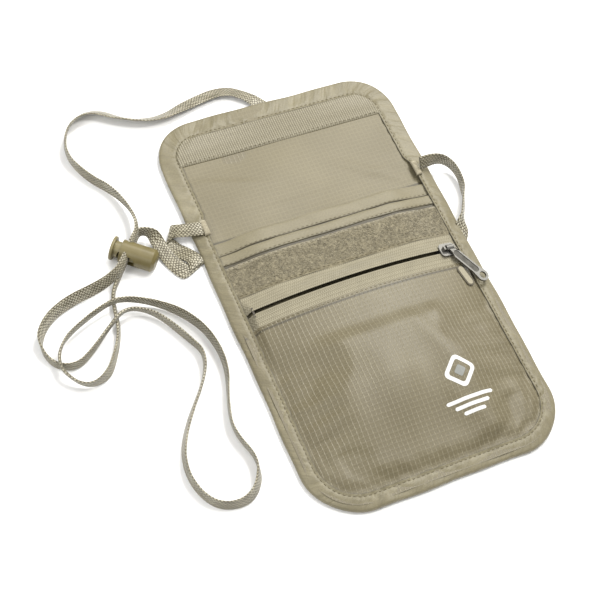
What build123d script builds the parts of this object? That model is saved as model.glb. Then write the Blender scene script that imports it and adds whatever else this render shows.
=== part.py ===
"""Neck pouch wallet, lying open on its back: flap up, zip pocket open, neck cord loose on the table.

X runs across the pouch, Y from the pouch's bottom edge towards the flap's free edge, and Z up.
The origin is on the table, under the middle of the opened pouch. All sizes are in millimetres.
"""

import math
import os

from build123d import *

os.makedirs("parts", exist_ok=True)

# ---- the opened pouch in plan ----
WIDTH = 140.0
LENGTH = 241.0
BOTTOM_RADIUS = 29.0
FLAP_RADIUS = 24.5
FOLD_Y = 58.0
FOLD_GAP = 0.6
BODY_BORDER = 8.5
FLAP_BORDER = 11.0
WALL_STEP = 1.1

# ---- heights through the body's layers ----
BORDER_TOP = 5.2
BORDER_ROOF = 4.6
BORDER_FLOOR = 0.6
BACK_TOP = 2.0
LINING = 0.3
POCKET_CLOTH = 0.4
CARD_CROWN = 6.5
CARD_EDGE = 2.35
NOTE_CROWN = 7.05
NOTE_EDGE = 2.95
FRONT_EDGE = 3.75
FRONT_CLOTH = 0.5
PLATEAU_HALF = 44.0
MOUTH_HALF = 61.0
TUCK_HALF = 68.8
SEAM_CROWN = 0.2

# ---- heights through the flap ----
FLAP_BOTTOM = 1.9
FLAP_TOP = 4.1
FLAP_WALL = 0.5
FLAP_OUTER_CLOTH = 0.5
FLAP_LINING_Z = 2.95
FLAP_LINING_CLOTH = 0.4
HOOK_Z = 3.4
HOOK_THICKNESS = 0.9
HOOK_LOW_Y = 93.0

# ---- pockets and fastening strips along Y ----
CARD_TOP_Y = 41.4
CARD_HEM = 7.6
NOTE_TOP_Y = 33.0
NOTE_HEM = 5.6
HEM_CLOTH = 0.45
LOOP_LOW_Y = 7.2
LOOP_HIGH_Y = 26.0
LOOP_THICKNESS = 0.9
POCKET_FULL_Y = -66.0
POCKET_FLAT_Y = -100.0
FRONT_TOP_Y = -13.3
FRONT_FULL_Y = -72.0
FRONT_FLAT_Y = -104.0
TUCK_Y = -119.3

# ---- zip: both coil rows lie on one arc, bulged over the filled pocket ----
ZIP_RADIUS = 273.0
ZIP_CROWN = 13.5
ZIP_MID_Y = -4.5
ROW_SPACING = 3.4
COIL_SIZE = 1.6
ZIP_HALF = 58.5
COIL_HALF = 57.5
TAPE_CLOTH = 0.5
LOWER_TAPE_Y = -16.5
UPPER_TAPE_Y = 6.8
UPPER_TAPE_KNEE_Y = 2.4
UPPER_TAPE_KNEE_DROP = 1.4
UPPER_TAPE_FLAT_Y = -0.3
STOP_GAP = 0.6
STOP_THICKNESS = 1.0
TAB_X = 54.6
TAB_SHIFT = (0.6, -17.0)
TAB_LENGTH = 12.5
TAB_WIDTH = 4.4
TAB_THICKNESS = 0.6
TAB_LEAN = -78.0
SLIDER_X = 52.5
SLIDER_LENGTH = 9.5
SLIDER_WIDTH = 7.6
SLIDER_CORNER = 2.2
SLIDER_RIM_LENGTH = 4.3
SLIDER_RIM_WIDTH = 0.7
SLIDER_RIM_HEIGHT = 0.55
SLIDER_RIM_SHIFT = -0.6
SLIDER_WEDGE_LENGTH = 2.6
SLIDER_WEDGE_WIDTH = 1.1
SLIDER_WEDGE_INSET = 2.2
PLATE = 0.9
PLATE_GAP = 2.2
POST_OUT = 2.9
POST_THICKNESS = 1.2
POST_WIDTH = 2.4
BAR_LIFT = 3.7
BAR_DIAMETER = 1.4
PULL_LENGTH = 26.3
PULL_WIDTH = 5.2
PULL_TIP_WIDTH = 6.8
PULL_THICKNESS = 1.1
PULL_DROP = 4.6
PULL_HEADING = Vector(0.509, -0.861, 0).normalized()
PULL_FLARE = 5.0
PULL_SHOULDER = 5.6
PULL_ROOT = [(3.2, 1.2), (1.1, 0.9)]
PULL_RECESS_INSET = 6.4
PULL_RECESS_WIDTH = 3.5
PULL_RECESS_SHIFT = 0.15
PULL_RECESS_DEPTH = 0.35
KNUCKLE_D = 3.0
KNUCKLE_BORE = 1.7
KNUCKLE_LENGTH = 3.8
EYE_D = 3.9

# ---- cord and cord lock ----
CORD_D = 3.2
TAPE_CORD_WIDTH = 8.0
TAPE_CORD_THICKNESS = 1.3
CHANNEL_TOP = 1.6
CHANNEL_WIDTH = 9.2
TACK_X = 62.2
LEFT_TACK_Y = 52.0
RIGHT_TACK_Y = 51.0
TACK_LENGTH = 9.0
TACK_WIDTH = 3.2
TACK_THICKNESS = 1.6
BARREL_D = 12.0
BARREL_START = 5.1
BARREL_END = 24.0
FLANGE_D = 12.8
FLANGE_THICKNESS = 1.6
PLUNGER_D = 8.6
PLUNGER_END = 15.0
BORE_D = 9.2
BORE_END = 22.4
BARREL_CHAMFER = 1.6
BUTTON_TRAVEL = 3.0
CROSS_HOLE_START = 6.8
CROSS_HOLE_LENGTH = 7.0
CROSS_HOLE_HEIGHT = 7.2
LOCK_Z = FLANGE_D / 2
LOCK_BUTTON_END = Vector(-112.0, 55.7, LOCK_Z)
LOCK_AXIS = Vector(0.768, -0.640, 0.0).normalized()
LOCK_ACROSS = Vector(-0.640, -0.768, 0.0).normalized()
CORD_STATION = 8.8
STRAND_LIFT = 1.7
MOUTH_REACH = 6.7
SPRING_WIRE = 0.7
SPRING_RADIUS = 3.0
SPRING_PITCH = 1.65
SPRING_PLAY = 0.1

# ---- printed mark ----
MARK_CENTRE = (24.0, -73.0)
MARK_SIZE = 13.0
MARK_CORNER = 2.6
MARK_HOLE = 9.0
MARK_HOLE_CORNER = 1.4
DIAMOND_SIZE = 3.6
BAR_HEIGHT = 1.8
BAR_DROP = 13.5
BAR_STEP = 3.4
BAR_LENGTHS = (26.0, 19.0, 12.0)
PRINT_THICKNESS = 0.15


def body_outline(inset):
    """The body's outline in plan, from the fold down to the rounded bottom corners."""
    half = WIDTH / 2 - inset
    low = -LENGTH / 2 + inset
    high = FOLD_Y - FOLD_GAP / 2
    with BuildSketch() as outline:
        with BuildLine():
            corners = [(-half, high), (-half, low), (half, low), (half, high)]
            FilletPolyline(*corners, radius=BOTTOM_RADIUS - inset)
            Line((half, high), (-half, high))
        make_face()
    return outline.sketch


def flap_outline(inset):
    """The flap's outline in plan, from the fold up to the rounded top corners."""
    half = WIDTH / 2 - inset
    low = FOLD_Y + FOLD_GAP / 2
    high = LENGTH / 2 - inset
    with BuildSketch() as outline:
        with BuildLine():
            corners = [(-half, low), (-half, high), (half, high), (half, low)]
            FilletPolyline(*corners, radius=FLAP_RADIUS - inset)
            Line((half, low), (-half, low))
        make_face()
    return outline.sketch


def border(outline, width, low, high, floor, roof):
    """A binding tape folded round an outline's edge: two flanges and the wall that joins them."""
    with BuildPart() as band:
        with BuildSketch(Plane.XY.offset(low)):
            add(outline(0))
            add(outline(width), mode=Mode.SUBTRACT)
        extrude(amount=high - low)
        with BuildSketch(Plane.XY.offset(floor)):
            add(outline(WALL_STEP - 0.1))
        extrude(amount=roof - floor, mode=Mode.SUBTRACT)
    return band.part


def drop(x):
    """How far the zip's arc has fallen below its crown at x."""
    return ZIP_RADIUS - math.sqrt(ZIP_RADIUS**2 - x**2)


def plateau(crown, edge):
    """Half a pocket panel's underside: flat over the contents, then down to the border."""
    return [(PLATEAU_HALF, crown), (MOUTH_HALF, edge)]


def seam(stations, edge):
    """Half a panel's underside where it is sewn down, with the slight crown that cloth keeps."""
    return [(x, edge + SEAM_CROWN * (1 - (x / TUCK_HALF) ** 2)) for x in stations]


def arc(crown, half, count=8):
    """Half an arched strip's underside, parallel to the zip's arc."""
    return [(half * i / count, crown - drop(half * i / count)) for i in range(count + 1)]


def shell(sections, thickness):
    """A thin panel through mirrored sections, each (y, half profile of (x, z) from the middle out)."""
    with BuildPart() as panel:
        for y, half in sections:
            under = [(-x, z) for x, z in reversed(half) if x > 0] + half
            over = [(x, z + thickness) for x, z in reversed(under)]
            with BuildSketch(Plane(origin=(0, y, 0), x_dir=(1, 0, 0), z_dir=(0, -1, 0))):
                with BuildLine():
                    Polyline(*under, *over, close=True)
                make_face()
        loft(ruled=True)
    return panel.part


def pocket_sections(crown, edge, top):
    """The sections of a pocket panel that runs from its open top down into the bottom seam."""
    full = plateau(crown, edge) + [(TUCK_HALF, edge)]
    flat = seam([x for x, _ in full], edge)
    return [(top, full), (POCKET_FULL_Y, full), (POCKET_FLAT_Y, flat), (TUCK_Y, flat)]


def front_sections(lift):
    """The sections of the front panel, or of a print that lies on it, raised by lift."""
    crown = ZIP_CROWN + TAPE_CLOTH / 2 + 0.05 + lift
    edge = FRONT_EDGE + lift
    full = arc(crown, ZIP_HALF) + [(MOUTH_HALF + 0.3, edge), (TUCK_HALF, edge)]
    flat = seam([x for x, _ in full], edge)
    return [(FRONT_TOP_Y, full), (FRONT_FULL_Y, full), (FRONT_FLAT_Y, flat), (TUCK_Y, flat)]


def corner_radii(points):
    """A tangent arc for each corner of a route, as large as its two runs allow."""
    radii = []
    for before, corner, after in zip(points, points[1:], points[2:]):
        arriving = Vector(corner) - Vector(before)
        leaving = Vector(after) - Vector(corner)
        half_turn = math.radians(arriving.get_angle(leaving)) / 2
        radii.append(0.45 * min(arriving.length, leaving.length) / math.tan(half_turn))
    return radii


def cord_tube(name, points):
    """A round tube along a route, checked against its section times its length."""
    radii = corner_radii(points)
    with BuildPart() as tube:
        with BuildLine() as route:
            FilletPolyline(*points, radius=radii)
        with BuildSketch(Plane(origin=route.wire() @ 0, z_dir=route.wire() % 0)):
            Circle(CORD_D / 2)
        sweep(path=route.wire())
    length = route.wire().length
    share = tube.part.volume / (math.pi * CORD_D**2 / 4 * length)
    low = tube.part.bounding_box().min.Z
    print(f"{name}: length {length:.1f}, volume/section {share:.4f}, lowest z {low:.2f},",
          "radii", " ".join(f"{radius:.1f}" for radius in radii))
    return tube.part


def lock_point(station, across=0.0, lift=0.0):
    """A point in the cord lock: along its axis, across it, and above it."""
    return LOCK_BUTTON_END + LOCK_AXIS * station + LOCK_ACROSS * across + Vector(0, 0, lift)


def lock_plane(station):
    """The plane square to the cord lock's axis at a station along it."""
    return Plane(origin=lock_point(station), x_dir=LOCK_ACROSS, z_dir=LOCK_AXIS)


# ---- routes of the neck cord, in order from the left tack, through the lock, to the right tack ----
LOWER_IN = tuple(lock_point(CORD_STATION, -MOUTH_REACH, -STRAND_LIFT))
LOWER_OUT = tuple(lock_point(CORD_STATION, MOUTH_REACH, -STRAND_LIFT))
UPPER_IN = tuple(lock_point(CORD_STATION, -MOUTH_REACH, STRAND_LIFT))
UPPER_OUT = tuple(lock_point(CORD_STATION, MOUTH_REACH, STRAND_LIFT))
LEFT_ROUTE = [
    (-63.8, 52.0, 6.9), (-72.5, 53.2, 7.1), (-80.0, 57.5, 4.4), (-83.5, 51.0, 2.0), (-73.4, 39.5, 1.7),
    (-72.8, 33.2, 1.7), (-78.2, 31.0, 1.7), (-83.2, 36.6, 1.7), (-86.4, 47.0, 2.2), (-88.6, 57.5, 3.8),
    (-95.6, 61.7, 4.7), LOWER_IN,
]
TAIL_ROUTE = [
    LOWER_OUT, (-114.0, 39.6, 3.6), (-120.0, 32.5, 1.7), (-122.3, 22.0, 1.7), (-123.8, 11.0, 1.7),
    (-130.5, -2.0, 1.7), (-138.0, -12.0, 1.7), (-149.5, -14.0, 2.2), (-158.0, -3.5, 5.4), (-157.0, 7.0, 5.4),
    (-149.0, 16.5, 2.6), (-127.0, 25.5, 5.4), (-117.0, 26.0, 5.4), (-103.0, 20.5, 2.2), (-91.0, 9.5, 1.7),
    (-82.5, -5.0, 1.7), (-80.5, -25.0, 1.7), (-88.0, -45.0, 1.7), (-91.5, -60.0, 1.7), (-84.5, -80.0, 1.7),
    (-95.0, -96.0, 1.7), (-113.0, -94.0, 1.7), (-121.0, -75.0, 1.7), (-115.5, -54.0, 1.7),
    (-86.5, -20.0, 1.7), (-94.5, -2.0, 1.7), (-104.0, 14.5, 2.2), (-117.0, 21.0, 5.4), (-128.0, 13.5, 5.4),
    (-140.0, 4.5, 2.2), (-150.5, -1.5, 1.7), (-161.0, 3.5, 1.7), (-164.0, 17.0, 1.7), (-156.0, 28.0, 1.7),
    (-142.0, 34.5, 1.7), (-126.0, 36.5, 3.0), (-114.5, 39.5, 7.5), UPPER_OUT,
]
THIN_RUN = 10
WIDE_RUN = 23
TOP_ROUTE = [
    UPPER_IN, (-96.0, 61.3, 8.3), (-94.5, 74.0, 4.4), (-99.0, 90.0, 1.7), (-109.0, 102.0, 1.7),
    (-116.0, 120.0, 1.7), (-109.0, 138.0, 1.7), (-93.0, 145.0, 1.7), (-77.0, 131.5, 1.7), (-59.0, 127.0, 1.7),
    (-40.0, 133.0, 1.7), (-18.0, 136.5, 1.7), (-6.0, 127.0, 1.7), (-2.8, 122.4, 1.7),
]
UNDER_ROUTE = [
    (-2.8, 122.4), (13.0, 99.7), (29.0, 70.0), (43.0, 40.0), (47.0, 18.0), (53.0, 3.0), (66.0, 1.0),
    (72.4, 13.0),
]
RIGHT_ROUTE = [
    (72.4, 13.0, 1.7), (80.5, 26.5, 1.7), (84.0, 38.5, 1.9), (81.5, 48.0, 4.4), (73.0, 52.0, 7.1),
    (63.8, 51.0, 6.9),
]


def middle_of(points, run):
    """The middle of one run of a route, where two spans of the cord meet face to face."""
    return tuple((Vector(points[run]) + Vector(points[run + 1])) * 0.5)


def under_strip(width, low, high):
    """The flat cord's hidden stretch under the pouch, or the room left for it."""
    with BuildPart() as strip:
        with BuildSketch(Plane.XY.offset(low)):
            with BuildLine() as route:
                FilletPolyline(*UNDER_ROUTE, radius=corner_radii([(x, y, 0) for x, y in UNDER_ROUTE]))
            trace(line_width=width)
        extrude(amount=high - low)
    return strip.part


# ---- body layers, from the table up ----
with BuildPart() as back_panel:
    with BuildSketch(Plane.XY.offset(BORDER_FLOOR)):
        add(body_outline(WALL_STEP))
    extrude(amount=BACK_TOP - BORDER_FLOOR)
    add(under_strip(CHANNEL_WIDTH, -1, CHANNEL_TOP), mode=Mode.SUBTRACT)

with BuildPart() as back_lining:
    with BuildSketch(Plane.XY.offset(BACK_TOP)):
        add(body_outline(WALL_STEP))
    extrude(amount=LINING)

with BuildPart() as body_border:
    add(border(body_outline, BODY_BORDER, 0, BORDER_TOP, BORDER_FLOOR, BORDER_ROOF))
    add(under_strip(CHANNEL_WIDTH, -1, CHANNEL_TOP), mode=Mode.SUBTRACT)

with BuildPart() as card_pocket:
    add(shell(pocket_sections(CARD_CROWN, CARD_EDGE, CARD_TOP_Y), POCKET_CLOTH))
    with BuildSketch():
        add(body_outline(WALL_STEP))
    extrude(amount=20, mode=Mode.INTERSECT)

with BuildPart() as card_pocket_hem:
    hem_profile = plateau(CARD_CROWN + POCKET_CLOTH, CARD_EDGE + POCKET_CLOTH)
    add(shell([(CARD_TOP_Y, hem_profile), (CARD_TOP_Y - CARD_HEM, hem_profile)], HEM_CLOTH))

with BuildPart() as note_pocket:
    add(shell(pocket_sections(NOTE_CROWN, NOTE_EDGE, NOTE_TOP_Y), POCKET_CLOTH))
    with BuildSketch():
        add(body_outline(WALL_STEP))
    extrude(amount=20, mode=Mode.INTERSECT)

note_top = plateau(NOTE_CROWN + POCKET_CLOTH, NOTE_EDGE + POCKET_CLOTH)

with BuildPart() as note_pocket_hem:
    add(shell([(NOTE_TOP_Y, note_top), (NOTE_TOP_Y - NOTE_HEM, note_top)], HEM_CLOTH))

with BuildPart() as loop_strip:
    add(shell([(LOOP_HIGH_Y, note_top), (LOOP_LOW_Y, note_top)], LOOP_THICKNESS))

with BuildPart() as front_panel:
    add(shell(front_sections(0), FRONT_CLOTH))
    with BuildSketch():
        add(body_outline(WALL_STEP))
    extrude(amount=20, mode=Mode.INTERSECT)
    with BuildSketch(Plane.XY.offset(BORDER_ROOF)):
        add(body_outline(0))
        add(body_outline(BODY_BORDER + 0.1), mode=Mode.SUBTRACT)
    extrude(amount=10, mode=Mode.SUBTRACT)

# ---- a plain printed mark: a diamond in a square frame over three bars ----
with BuildPart() as printed_mark:
    add(shell(front_sections(FRONT_CLOTH), PRINT_THICKNESS))
    with BuildSketch():
        with Locations(MARK_CENTRE):
            RectangleRounded(MARK_SIZE, MARK_SIZE, MARK_CORNER, rotation=45)
            RectangleRounded(MARK_HOLE, MARK_HOLE, MARK_HOLE_CORNER, rotation=45, mode=Mode.SUBTRACT)
            RectangleRounded(DIAMOND_SIZE, DIAMOND_SIZE, DIAMOND_SIZE / 6, rotation=45)
        for index, bar_length in enumerate(BAR_LENGTHS):
            with Locations((MARK_CENTRE[0], MARK_CENTRE[1] - BAR_DROP - BAR_STEP * index)):
                RectangleRounded(bar_length, BAR_HEIGHT, BAR_HEIGHT / 2 - 0.1)
    extrude(amount=20, mode=Mode.INTERSECT)

# ---- zip tapes, coils and stops ----
lower_row_y = ZIP_MID_Y - ROW_SPACING / 2
upper_row_y = ZIP_MID_Y + ROW_SPACING / 2
tape_arc = arc(ZIP_CROWN - TAPE_CLOTH / 2, COIL_HALF)
knee_arc = arc(ZIP_CROWN - TAPE_CLOTH / 2 - UPPER_TAPE_KNEE_DROP, COIL_HALF)


def upper_tape_foot():
    """The upper tape's sewn edge, which lies on the note pocket at the same stations as the arc."""
    slope = (NOTE_CROWN - NOTE_EDGE) / (MOUTH_HALF - PLATEAU_HALF)
    crowned = seam([x for x, _ in tape_arc], NOTE_CROWN + POCKET_CLOTH + 0.05)
    return [(x, z - max(0.0, x - PLATEAU_HALF) * slope) for x, z in crowned]


with BuildPart() as zip_tape_lower:
    add(shell([(lower_row_y - COIL_SIZE / 2, tape_arc), (LOWER_TAPE_Y, tape_arc)], TAPE_CLOTH))

with BuildPart() as zip_tape_upper:
    upper_sections = [
        (UPPER_TAPE_Y, upper_tape_foot()), (UPPER_TAPE_KNEE_Y, knee_arc), (UPPER_TAPE_FLAT_Y, tape_arc),
        (upper_row_y + COIL_SIZE / 2, tape_arc),
    ]
    add(shell(upper_sections, TAPE_CLOTH))

zip_axis = Axis((0, 0, ZIP_CROWN - ZIP_RADIUS), (0, 1, 0))


def zip_plane(x, lift=0.0):
    """A plane on the zip's arc at x, its X along the zip and its normal away from the arc's centre."""
    lean = math.asin(x / ZIP_RADIUS)
    along = Vector(math.cos(lean), 0, -math.sin(lean))
    away = Vector(math.sin(lean), 0, math.cos(lean))
    return Plane(origin=Vector(0, ZIP_MID_Y, ZIP_CROWN - ZIP_RADIUS) + away * (ZIP_RADIUS + lift),
                 x_dir=along, z_dir=away)


def coil_row(side):
    """One row of the zip's coil: a rounded bar bent along the arc."""
    sweep_angle = 2 * math.degrees(math.asin(COIL_HALF / ZIP_RADIUS))
    start = zip_plane(-COIL_HALF)
    across = Plane(origin=start.origin, x_dir=(0, 1, 0), z_dir=start.x_dir)
    with BuildPart() as row:
        with BuildSketch(across):
            with Locations((side * ROW_SPACING / 2, 0)):
                RectangleRounded(COIL_SIZE, COIL_SIZE, 0.5)
        revolve(axis=zip_axis, revolution_arc=sweep_angle)
    return row.part


with BuildPart() as zip_coil_lower:
    add(coil_row(-1))

with BuildPart() as zip_coil_upper:
    add(coil_row(1))

with BuildPart() as zip_stops:
    for end in (-1, 1):
        with BuildSketch(zip_plane(end * (COIL_HALF + STOP_GAP), -COIL_SIZE / 2)):
            RectangleRounded(STOP_THICKNESS, ROW_SPACING + COIL_SIZE + 0.6, 0.3)
        extrude(amount=COIL_SIZE)

with BuildPart() as zip_end_tab:
    tab_plane = zip_plane(TAB_X, TAPE_CLOTH / 2 + FRONT_CLOTH + 0.2)
    with BuildSketch(tab_plane):
        with Locations(TAB_SHIFT):
            SlotOverall(TAB_LENGTH, TAB_WIDTH, rotation=TAB_LEAN)
    extrude(amount=TAB_THICKNESS)

# ---- zip slider and its pull ----
with BuildPart() as slider_body:
    for level in (-PLATE_GAP / 2 - PLATE, PLATE_GAP / 2):
        with BuildSketch(zip_plane(SLIDER_X, level)):
            RectangleRounded(SLIDER_LENGTH, SLIDER_WIDTH, SLIDER_CORNER)
        extrude(amount=PLATE)
    rim_y = (SLIDER_WIDTH - SLIDER_RIM_WIDTH) / 2
    for level in (-PLATE_GAP / 2, PLATE_GAP / 2 - SLIDER_RIM_HEIGHT):
        with BuildSketch(zip_plane(SLIDER_X, level)):
            with Locations((SLIDER_RIM_SHIFT, rim_y), (SLIDER_RIM_SHIFT, -rim_y)):
                Rectangle(SLIDER_RIM_LENGTH, SLIDER_RIM_WIDTH)
        extrude(amount=SLIDER_RIM_HEIGHT)
    with BuildSketch(zip_plane(SLIDER_X, -PLATE_GAP / 2)):
        with Locations((SLIDER_LENGTH / 2 - SLIDER_WEDGE_INSET, 0)):
            SlotOverall(SLIDER_WEDGE_LENGTH, SLIDER_WEDGE_WIDTH)
    extrude(amount=PLATE_GAP)

bar_plane = zip_plane(SLIDER_X, BAR_LIFT)
bar_end = Plane(origin=bar_plane.origin, x_dir=(0, 1, 0), z_dir=bar_plane.x_dir)

with BuildPart() as slider_bail:
    for side in (-1, 1):
        with BuildSketch(zip_plane(SLIDER_X, PLATE_GAP / 2 + PLATE)):
            with Locations((side * POST_OUT, 0)):
                RectangleRounded(POST_THICKNESS, POST_WIDTH, 0.4)
        extrude(amount=BAR_LIFT - PLATE_GAP / 2 - PLATE + BAR_DIAMETER / 2)
    with BuildSketch(bar_end):
        Circle(BAR_DIAMETER / 2)
    extrude(amount=POST_OUT, both=True)

drop_angle = math.asin(PULL_DROP / PULL_LENGTH)
pull_along = PULL_HEADING * math.cos(drop_angle) - Vector(0, 0, math.sin(drop_angle))
pull_across = (bar_plane.x_dir - pull_along * bar_plane.x_dir.dot(pull_along)).normalized()
pull_up = pull_across.cross(pull_along)
if pull_up.Z < 0:
    pull_up = pull_up * -1
pull_under = bar_plane.origin - pull_up * (PULL_THICKNESS / 2)
pull_plane = Plane(origin=pull_under, x_dir=pull_along, z_dir=pull_up)

with BuildPart() as pull_tab:
    with BuildSketch(pull_plane):
        with BuildLine():
            tip = PULL_LENGTH - PULL_TIP_WIDTH / 2
            right = [
                (tip, PULL_TIP_WIDTH / 2), (tip - PULL_FLARE, PULL_WIDTH / 2), (PULL_SHOULDER, PULL_WIDTH / 2),
                *PULL_ROOT,
            ]
            Polyline(*right, *[(along, -across) for along, across in reversed(right)])
            ThreePointArc((tip, -PULL_TIP_WIDTH / 2), (PULL_LENGTH, 0), (tip, PULL_TIP_WIDTH / 2))
        make_face()
    extrude(amount=PULL_THICKNESS)
    with BuildSketch(bar_end):
        Circle(KNUCKLE_D / 2)
    extrude(amount=KNUCKLE_LENGTH / 2, both=True)
    with BuildSketch(bar_end):
        Circle(KNUCKLE_BORE / 2)
    extrude(amount=KNUCKLE_LENGTH, both=True, mode=Mode.SUBTRACT)
    with BuildSketch(pull_plane.offset(PULL_THICKNESS - PULL_RECESS_DEPTH)):
        with Locations((tip / 2 + PULL_RECESS_SHIFT, 0)):
            SlotOverall(tip - PULL_RECESS_INSET, PULL_RECESS_WIDTH)
    extrude(amount=2, mode=Mode.SUBTRACT)
    with BuildSketch(pull_plane.offset(-1)):
        with Locations((tip, 0)):
            Circle(EYE_D / 2)
    extrude(amount=5, mode=Mode.SUBTRACT)

# ---- flap layers, from the table up ----
with BuildPart() as flap_border:
    flap_floor, flap_roof = FLAP_BOTTOM + FLAP_WALL, FLAP_TOP - FLAP_WALL
    add(border(flap_outline, FLAP_BORDER, FLAP_BOTTOM, FLAP_TOP, flap_floor, flap_roof))

with BuildPart() as flap_outer:
    with BuildSketch(Plane.XY.offset(FLAP_BOTTOM + FLAP_WALL)):
        add(flap_outline(WALL_STEP))
    extrude(amount=FLAP_OUTER_CLOTH)

with BuildPart() as flap_lining:
    with BuildSketch(Plane.XY.offset(FLAP_LINING_Z)):
        add(flap_outline(WALL_STEP))
    extrude(amount=FLAP_LINING_CLOTH)

with BuildPart() as hook_strip:
    with BuildSketch(Plane.XY.offset(HOOK_Z)):
        add(flap_outline(FLAP_BORDER + 0.1))
        with Locations((0, HOOK_LOW_Y)):
            Rectangle(WIDTH, LENGTH, align=(Align.CENTER, Align.MAX), mode=Mode.SUBTRACT)
    extrude(amount=HOOK_THICKNESS)

# ---- sewn-down ends of the neck cord ----
with BuildPart() as cord_tack_left:
    with BuildSketch(Plane.XY.offset(BORDER_TOP)):
        with Locations((-TACK_X, LEFT_TACK_Y)):
            RectangleRounded(TACK_WIDTH, TACK_LENGTH, 0.5)
    extrude(amount=TACK_THICKNESS)

with BuildPart() as cord_tack_right:
    with BuildSketch(Plane.XY.offset(BORDER_TOP)):
        with Locations((TACK_X, RIGHT_TACK_Y)):
            RectangleRounded(TACK_WIDTH, TACK_LENGTH, 0.5)
    extrude(amount=TACK_THICKNESS)

# ---- cord lock ----
with BuildPart() as lock_barrel:
    with BuildSketch(lock_plane(BARREL_START)):
        Circle(BARREL_D / 2)
    extrude(amount=BARREL_END - BARREL_START)
    lock_axis = Axis((0, 0, 0), tuple(LOCK_AXIS))
    end_rims = lock_barrel.edges().filter_by(GeomType.CIRCLE).sort_by(lock_axis)
    chamfer(end_rims[-1], length=BARREL_CHAMFER)
    with BuildSketch(lock_plane(BARREL_START)):
        Circle(BORE_D / 2)
    extrude(amount=BORE_END - BARREL_START, mode=Mode.SUBTRACT)
    hole_centre = lock_point(CROSS_HOLE_START + CROSS_HOLE_LENGTH / 2)
    with BuildSketch(Plane(origin=hole_centre, x_dir=LOCK_AXIS, z_dir=LOCK_ACROSS)):
        RectangleRounded(CROSS_HOLE_LENGTH, CROSS_HOLE_HEIGHT, 2.6)
    extrude(amount=BARREL_D, both=True, mode=Mode.SUBTRACT)

with BuildPart() as lock_button:
    with BuildSketch(lock_plane(0)):
        Circle(FLANGE_D / 2)
    extrude(amount=FLANGE_THICKNESS)
    fillet(lock_button.edges().filter_by(GeomType.CIRCLE), radius=0.5)
    with BuildSketch(lock_plane(FLANGE_THICKNESS - 0.2)):
        Circle(PLUNGER_D / 2)
    extrude(amount=PLUNGER_END - FLANGE_THICKNESS + 0.2)
    button_hole = lock_point(CROSS_HOLE_START + CROSS_HOLE_LENGTH / 2 - BUTTON_TRAVEL)
    with BuildSketch(Plane(origin=button_hole, x_dir=LOCK_AXIS, z_dir=LOCK_ACROSS)):
        RectangleRounded(CROSS_HOLE_LENGTH, CROSS_HOLE_HEIGHT - 0.2, 2.0)
    extrude(amount=BARREL_D, both=True, mode=Mode.SUBTRACT)

with BuildPart() as lock_spring:
    spring_height = BORE_END - PLUNGER_END - SPRING_WIRE - 2 * SPRING_PLAY
    spring_foot = lock_point(PLUNGER_END + SPRING_WIRE / 2 + SPRING_PLAY)
    with BuildLine() as spring_line:
        Helix(pitch=SPRING_PITCH, height=spring_height, radius=SPRING_RADIUS,
              center=tuple(spring_foot), direction=tuple(LOCK_AXIS))
    with BuildSketch(Plane(origin=spring_line.wire() @ 0, z_dir=spring_line.wire() % 0)):
        Circle(SPRING_WIRE / 2)
    sweep(path=spring_line.wire())

# ---- neck cord ----
with BuildPart() as cord_in_lock:
    for lift in (-STRAND_LIFT, STRAND_LIFT):
        strand_middle = lock_point(CORD_STATION, 0, lift)
        with BuildSketch(Plane(origin=strand_middle, x_dir=LOCK_AXIS, z_dir=LOCK_ACROSS)):
            Circle(CORD_D / 2)
        extrude(amount=MOUTH_REACH, both=True)

with BuildPart() as cord_left:
    add(cord_tube("cord_left", LEFT_ROUTE))

thin_end = middle_of(TAIL_ROUTE, THIN_RUN)
wide_start = middle_of(TAIL_ROUTE, WIDE_RUN)

with BuildPart() as cord_tail_thin:
    add(cord_tube("cord_tail_thin", TAIL_ROUTE[:THIN_RUN + 1] + [thin_end]))

with BuildPart() as cord_tail_loop:
    add(cord_tube("cord_tail_loop", [thin_end] + TAIL_ROUTE[THIN_RUN + 1:WIDE_RUN + 1] + [wide_start]))

with BuildPart() as cord_tail_wide:
    add(cord_tube("cord_tail_wide", [wide_start] + TAIL_ROUTE[WIDE_RUN + 1:]))

with BuildPart() as cord_top:
    add(cord_tube("cord_top", TOP_ROUTE))

with BuildPart() as cord_under:
    add(under_strip(TAPE_CORD_WIDTH, 0.1, 0.1 + TAPE_CORD_THICKNESS))

with BuildPart() as cord_right:
    add(cord_tube("cord_right", RIGHT_ROUTE))

pieces = {
    "back_panel": back_panel,
    "back_lining": back_lining,
    "body_border": body_border,
    "card_pocket": card_pocket,
    "card_pocket_hem": card_pocket_hem,
    "note_pocket": note_pocket,
    "note_pocket_hem": note_pocket_hem,
    "loop_strip": loop_strip,
    "front_panel": front_panel,
    "printed_mark": printed_mark,
    "zip_tape_lower": zip_tape_lower,
    "zip_tape_upper": zip_tape_upper,
    "zip_coil_lower": zip_coil_lower,
    "zip_coil_upper": zip_coil_upper,
    "zip_stops": zip_stops,
    "zip_end_tab": zip_end_tab,
    "slider_body": slider_body,
    "slider_bail": slider_bail,
    "pull_tab": pull_tab,
    "flap_border": flap_border,
    "flap_outer": flap_outer,
    "flap_lining": flap_lining,
    "hook_strip": hook_strip,
    "cord_tack_left": cord_tack_left,
    "cord_tack_right": cord_tack_right,
    "lock_barrel": lock_barrel,
    "lock_button": lock_button,
    "lock_spring": lock_spring,
    "cord_in_lock": cord_in_lock,
    "cord_left": cord_left,
    "cord_tail_thin": cord_tail_thin,
    "cord_tail_loop": cord_tail_loop,
    "cord_tail_wide": cord_tail_wide,
    "cord_top": cord_top,
    "cord_under": cord_under,
    "cord_right": cord_right,
}
for name, piece in pieces.items():
    piece.part.label = name
    export_step(piece.part, f"parts/{name}.step")

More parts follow.
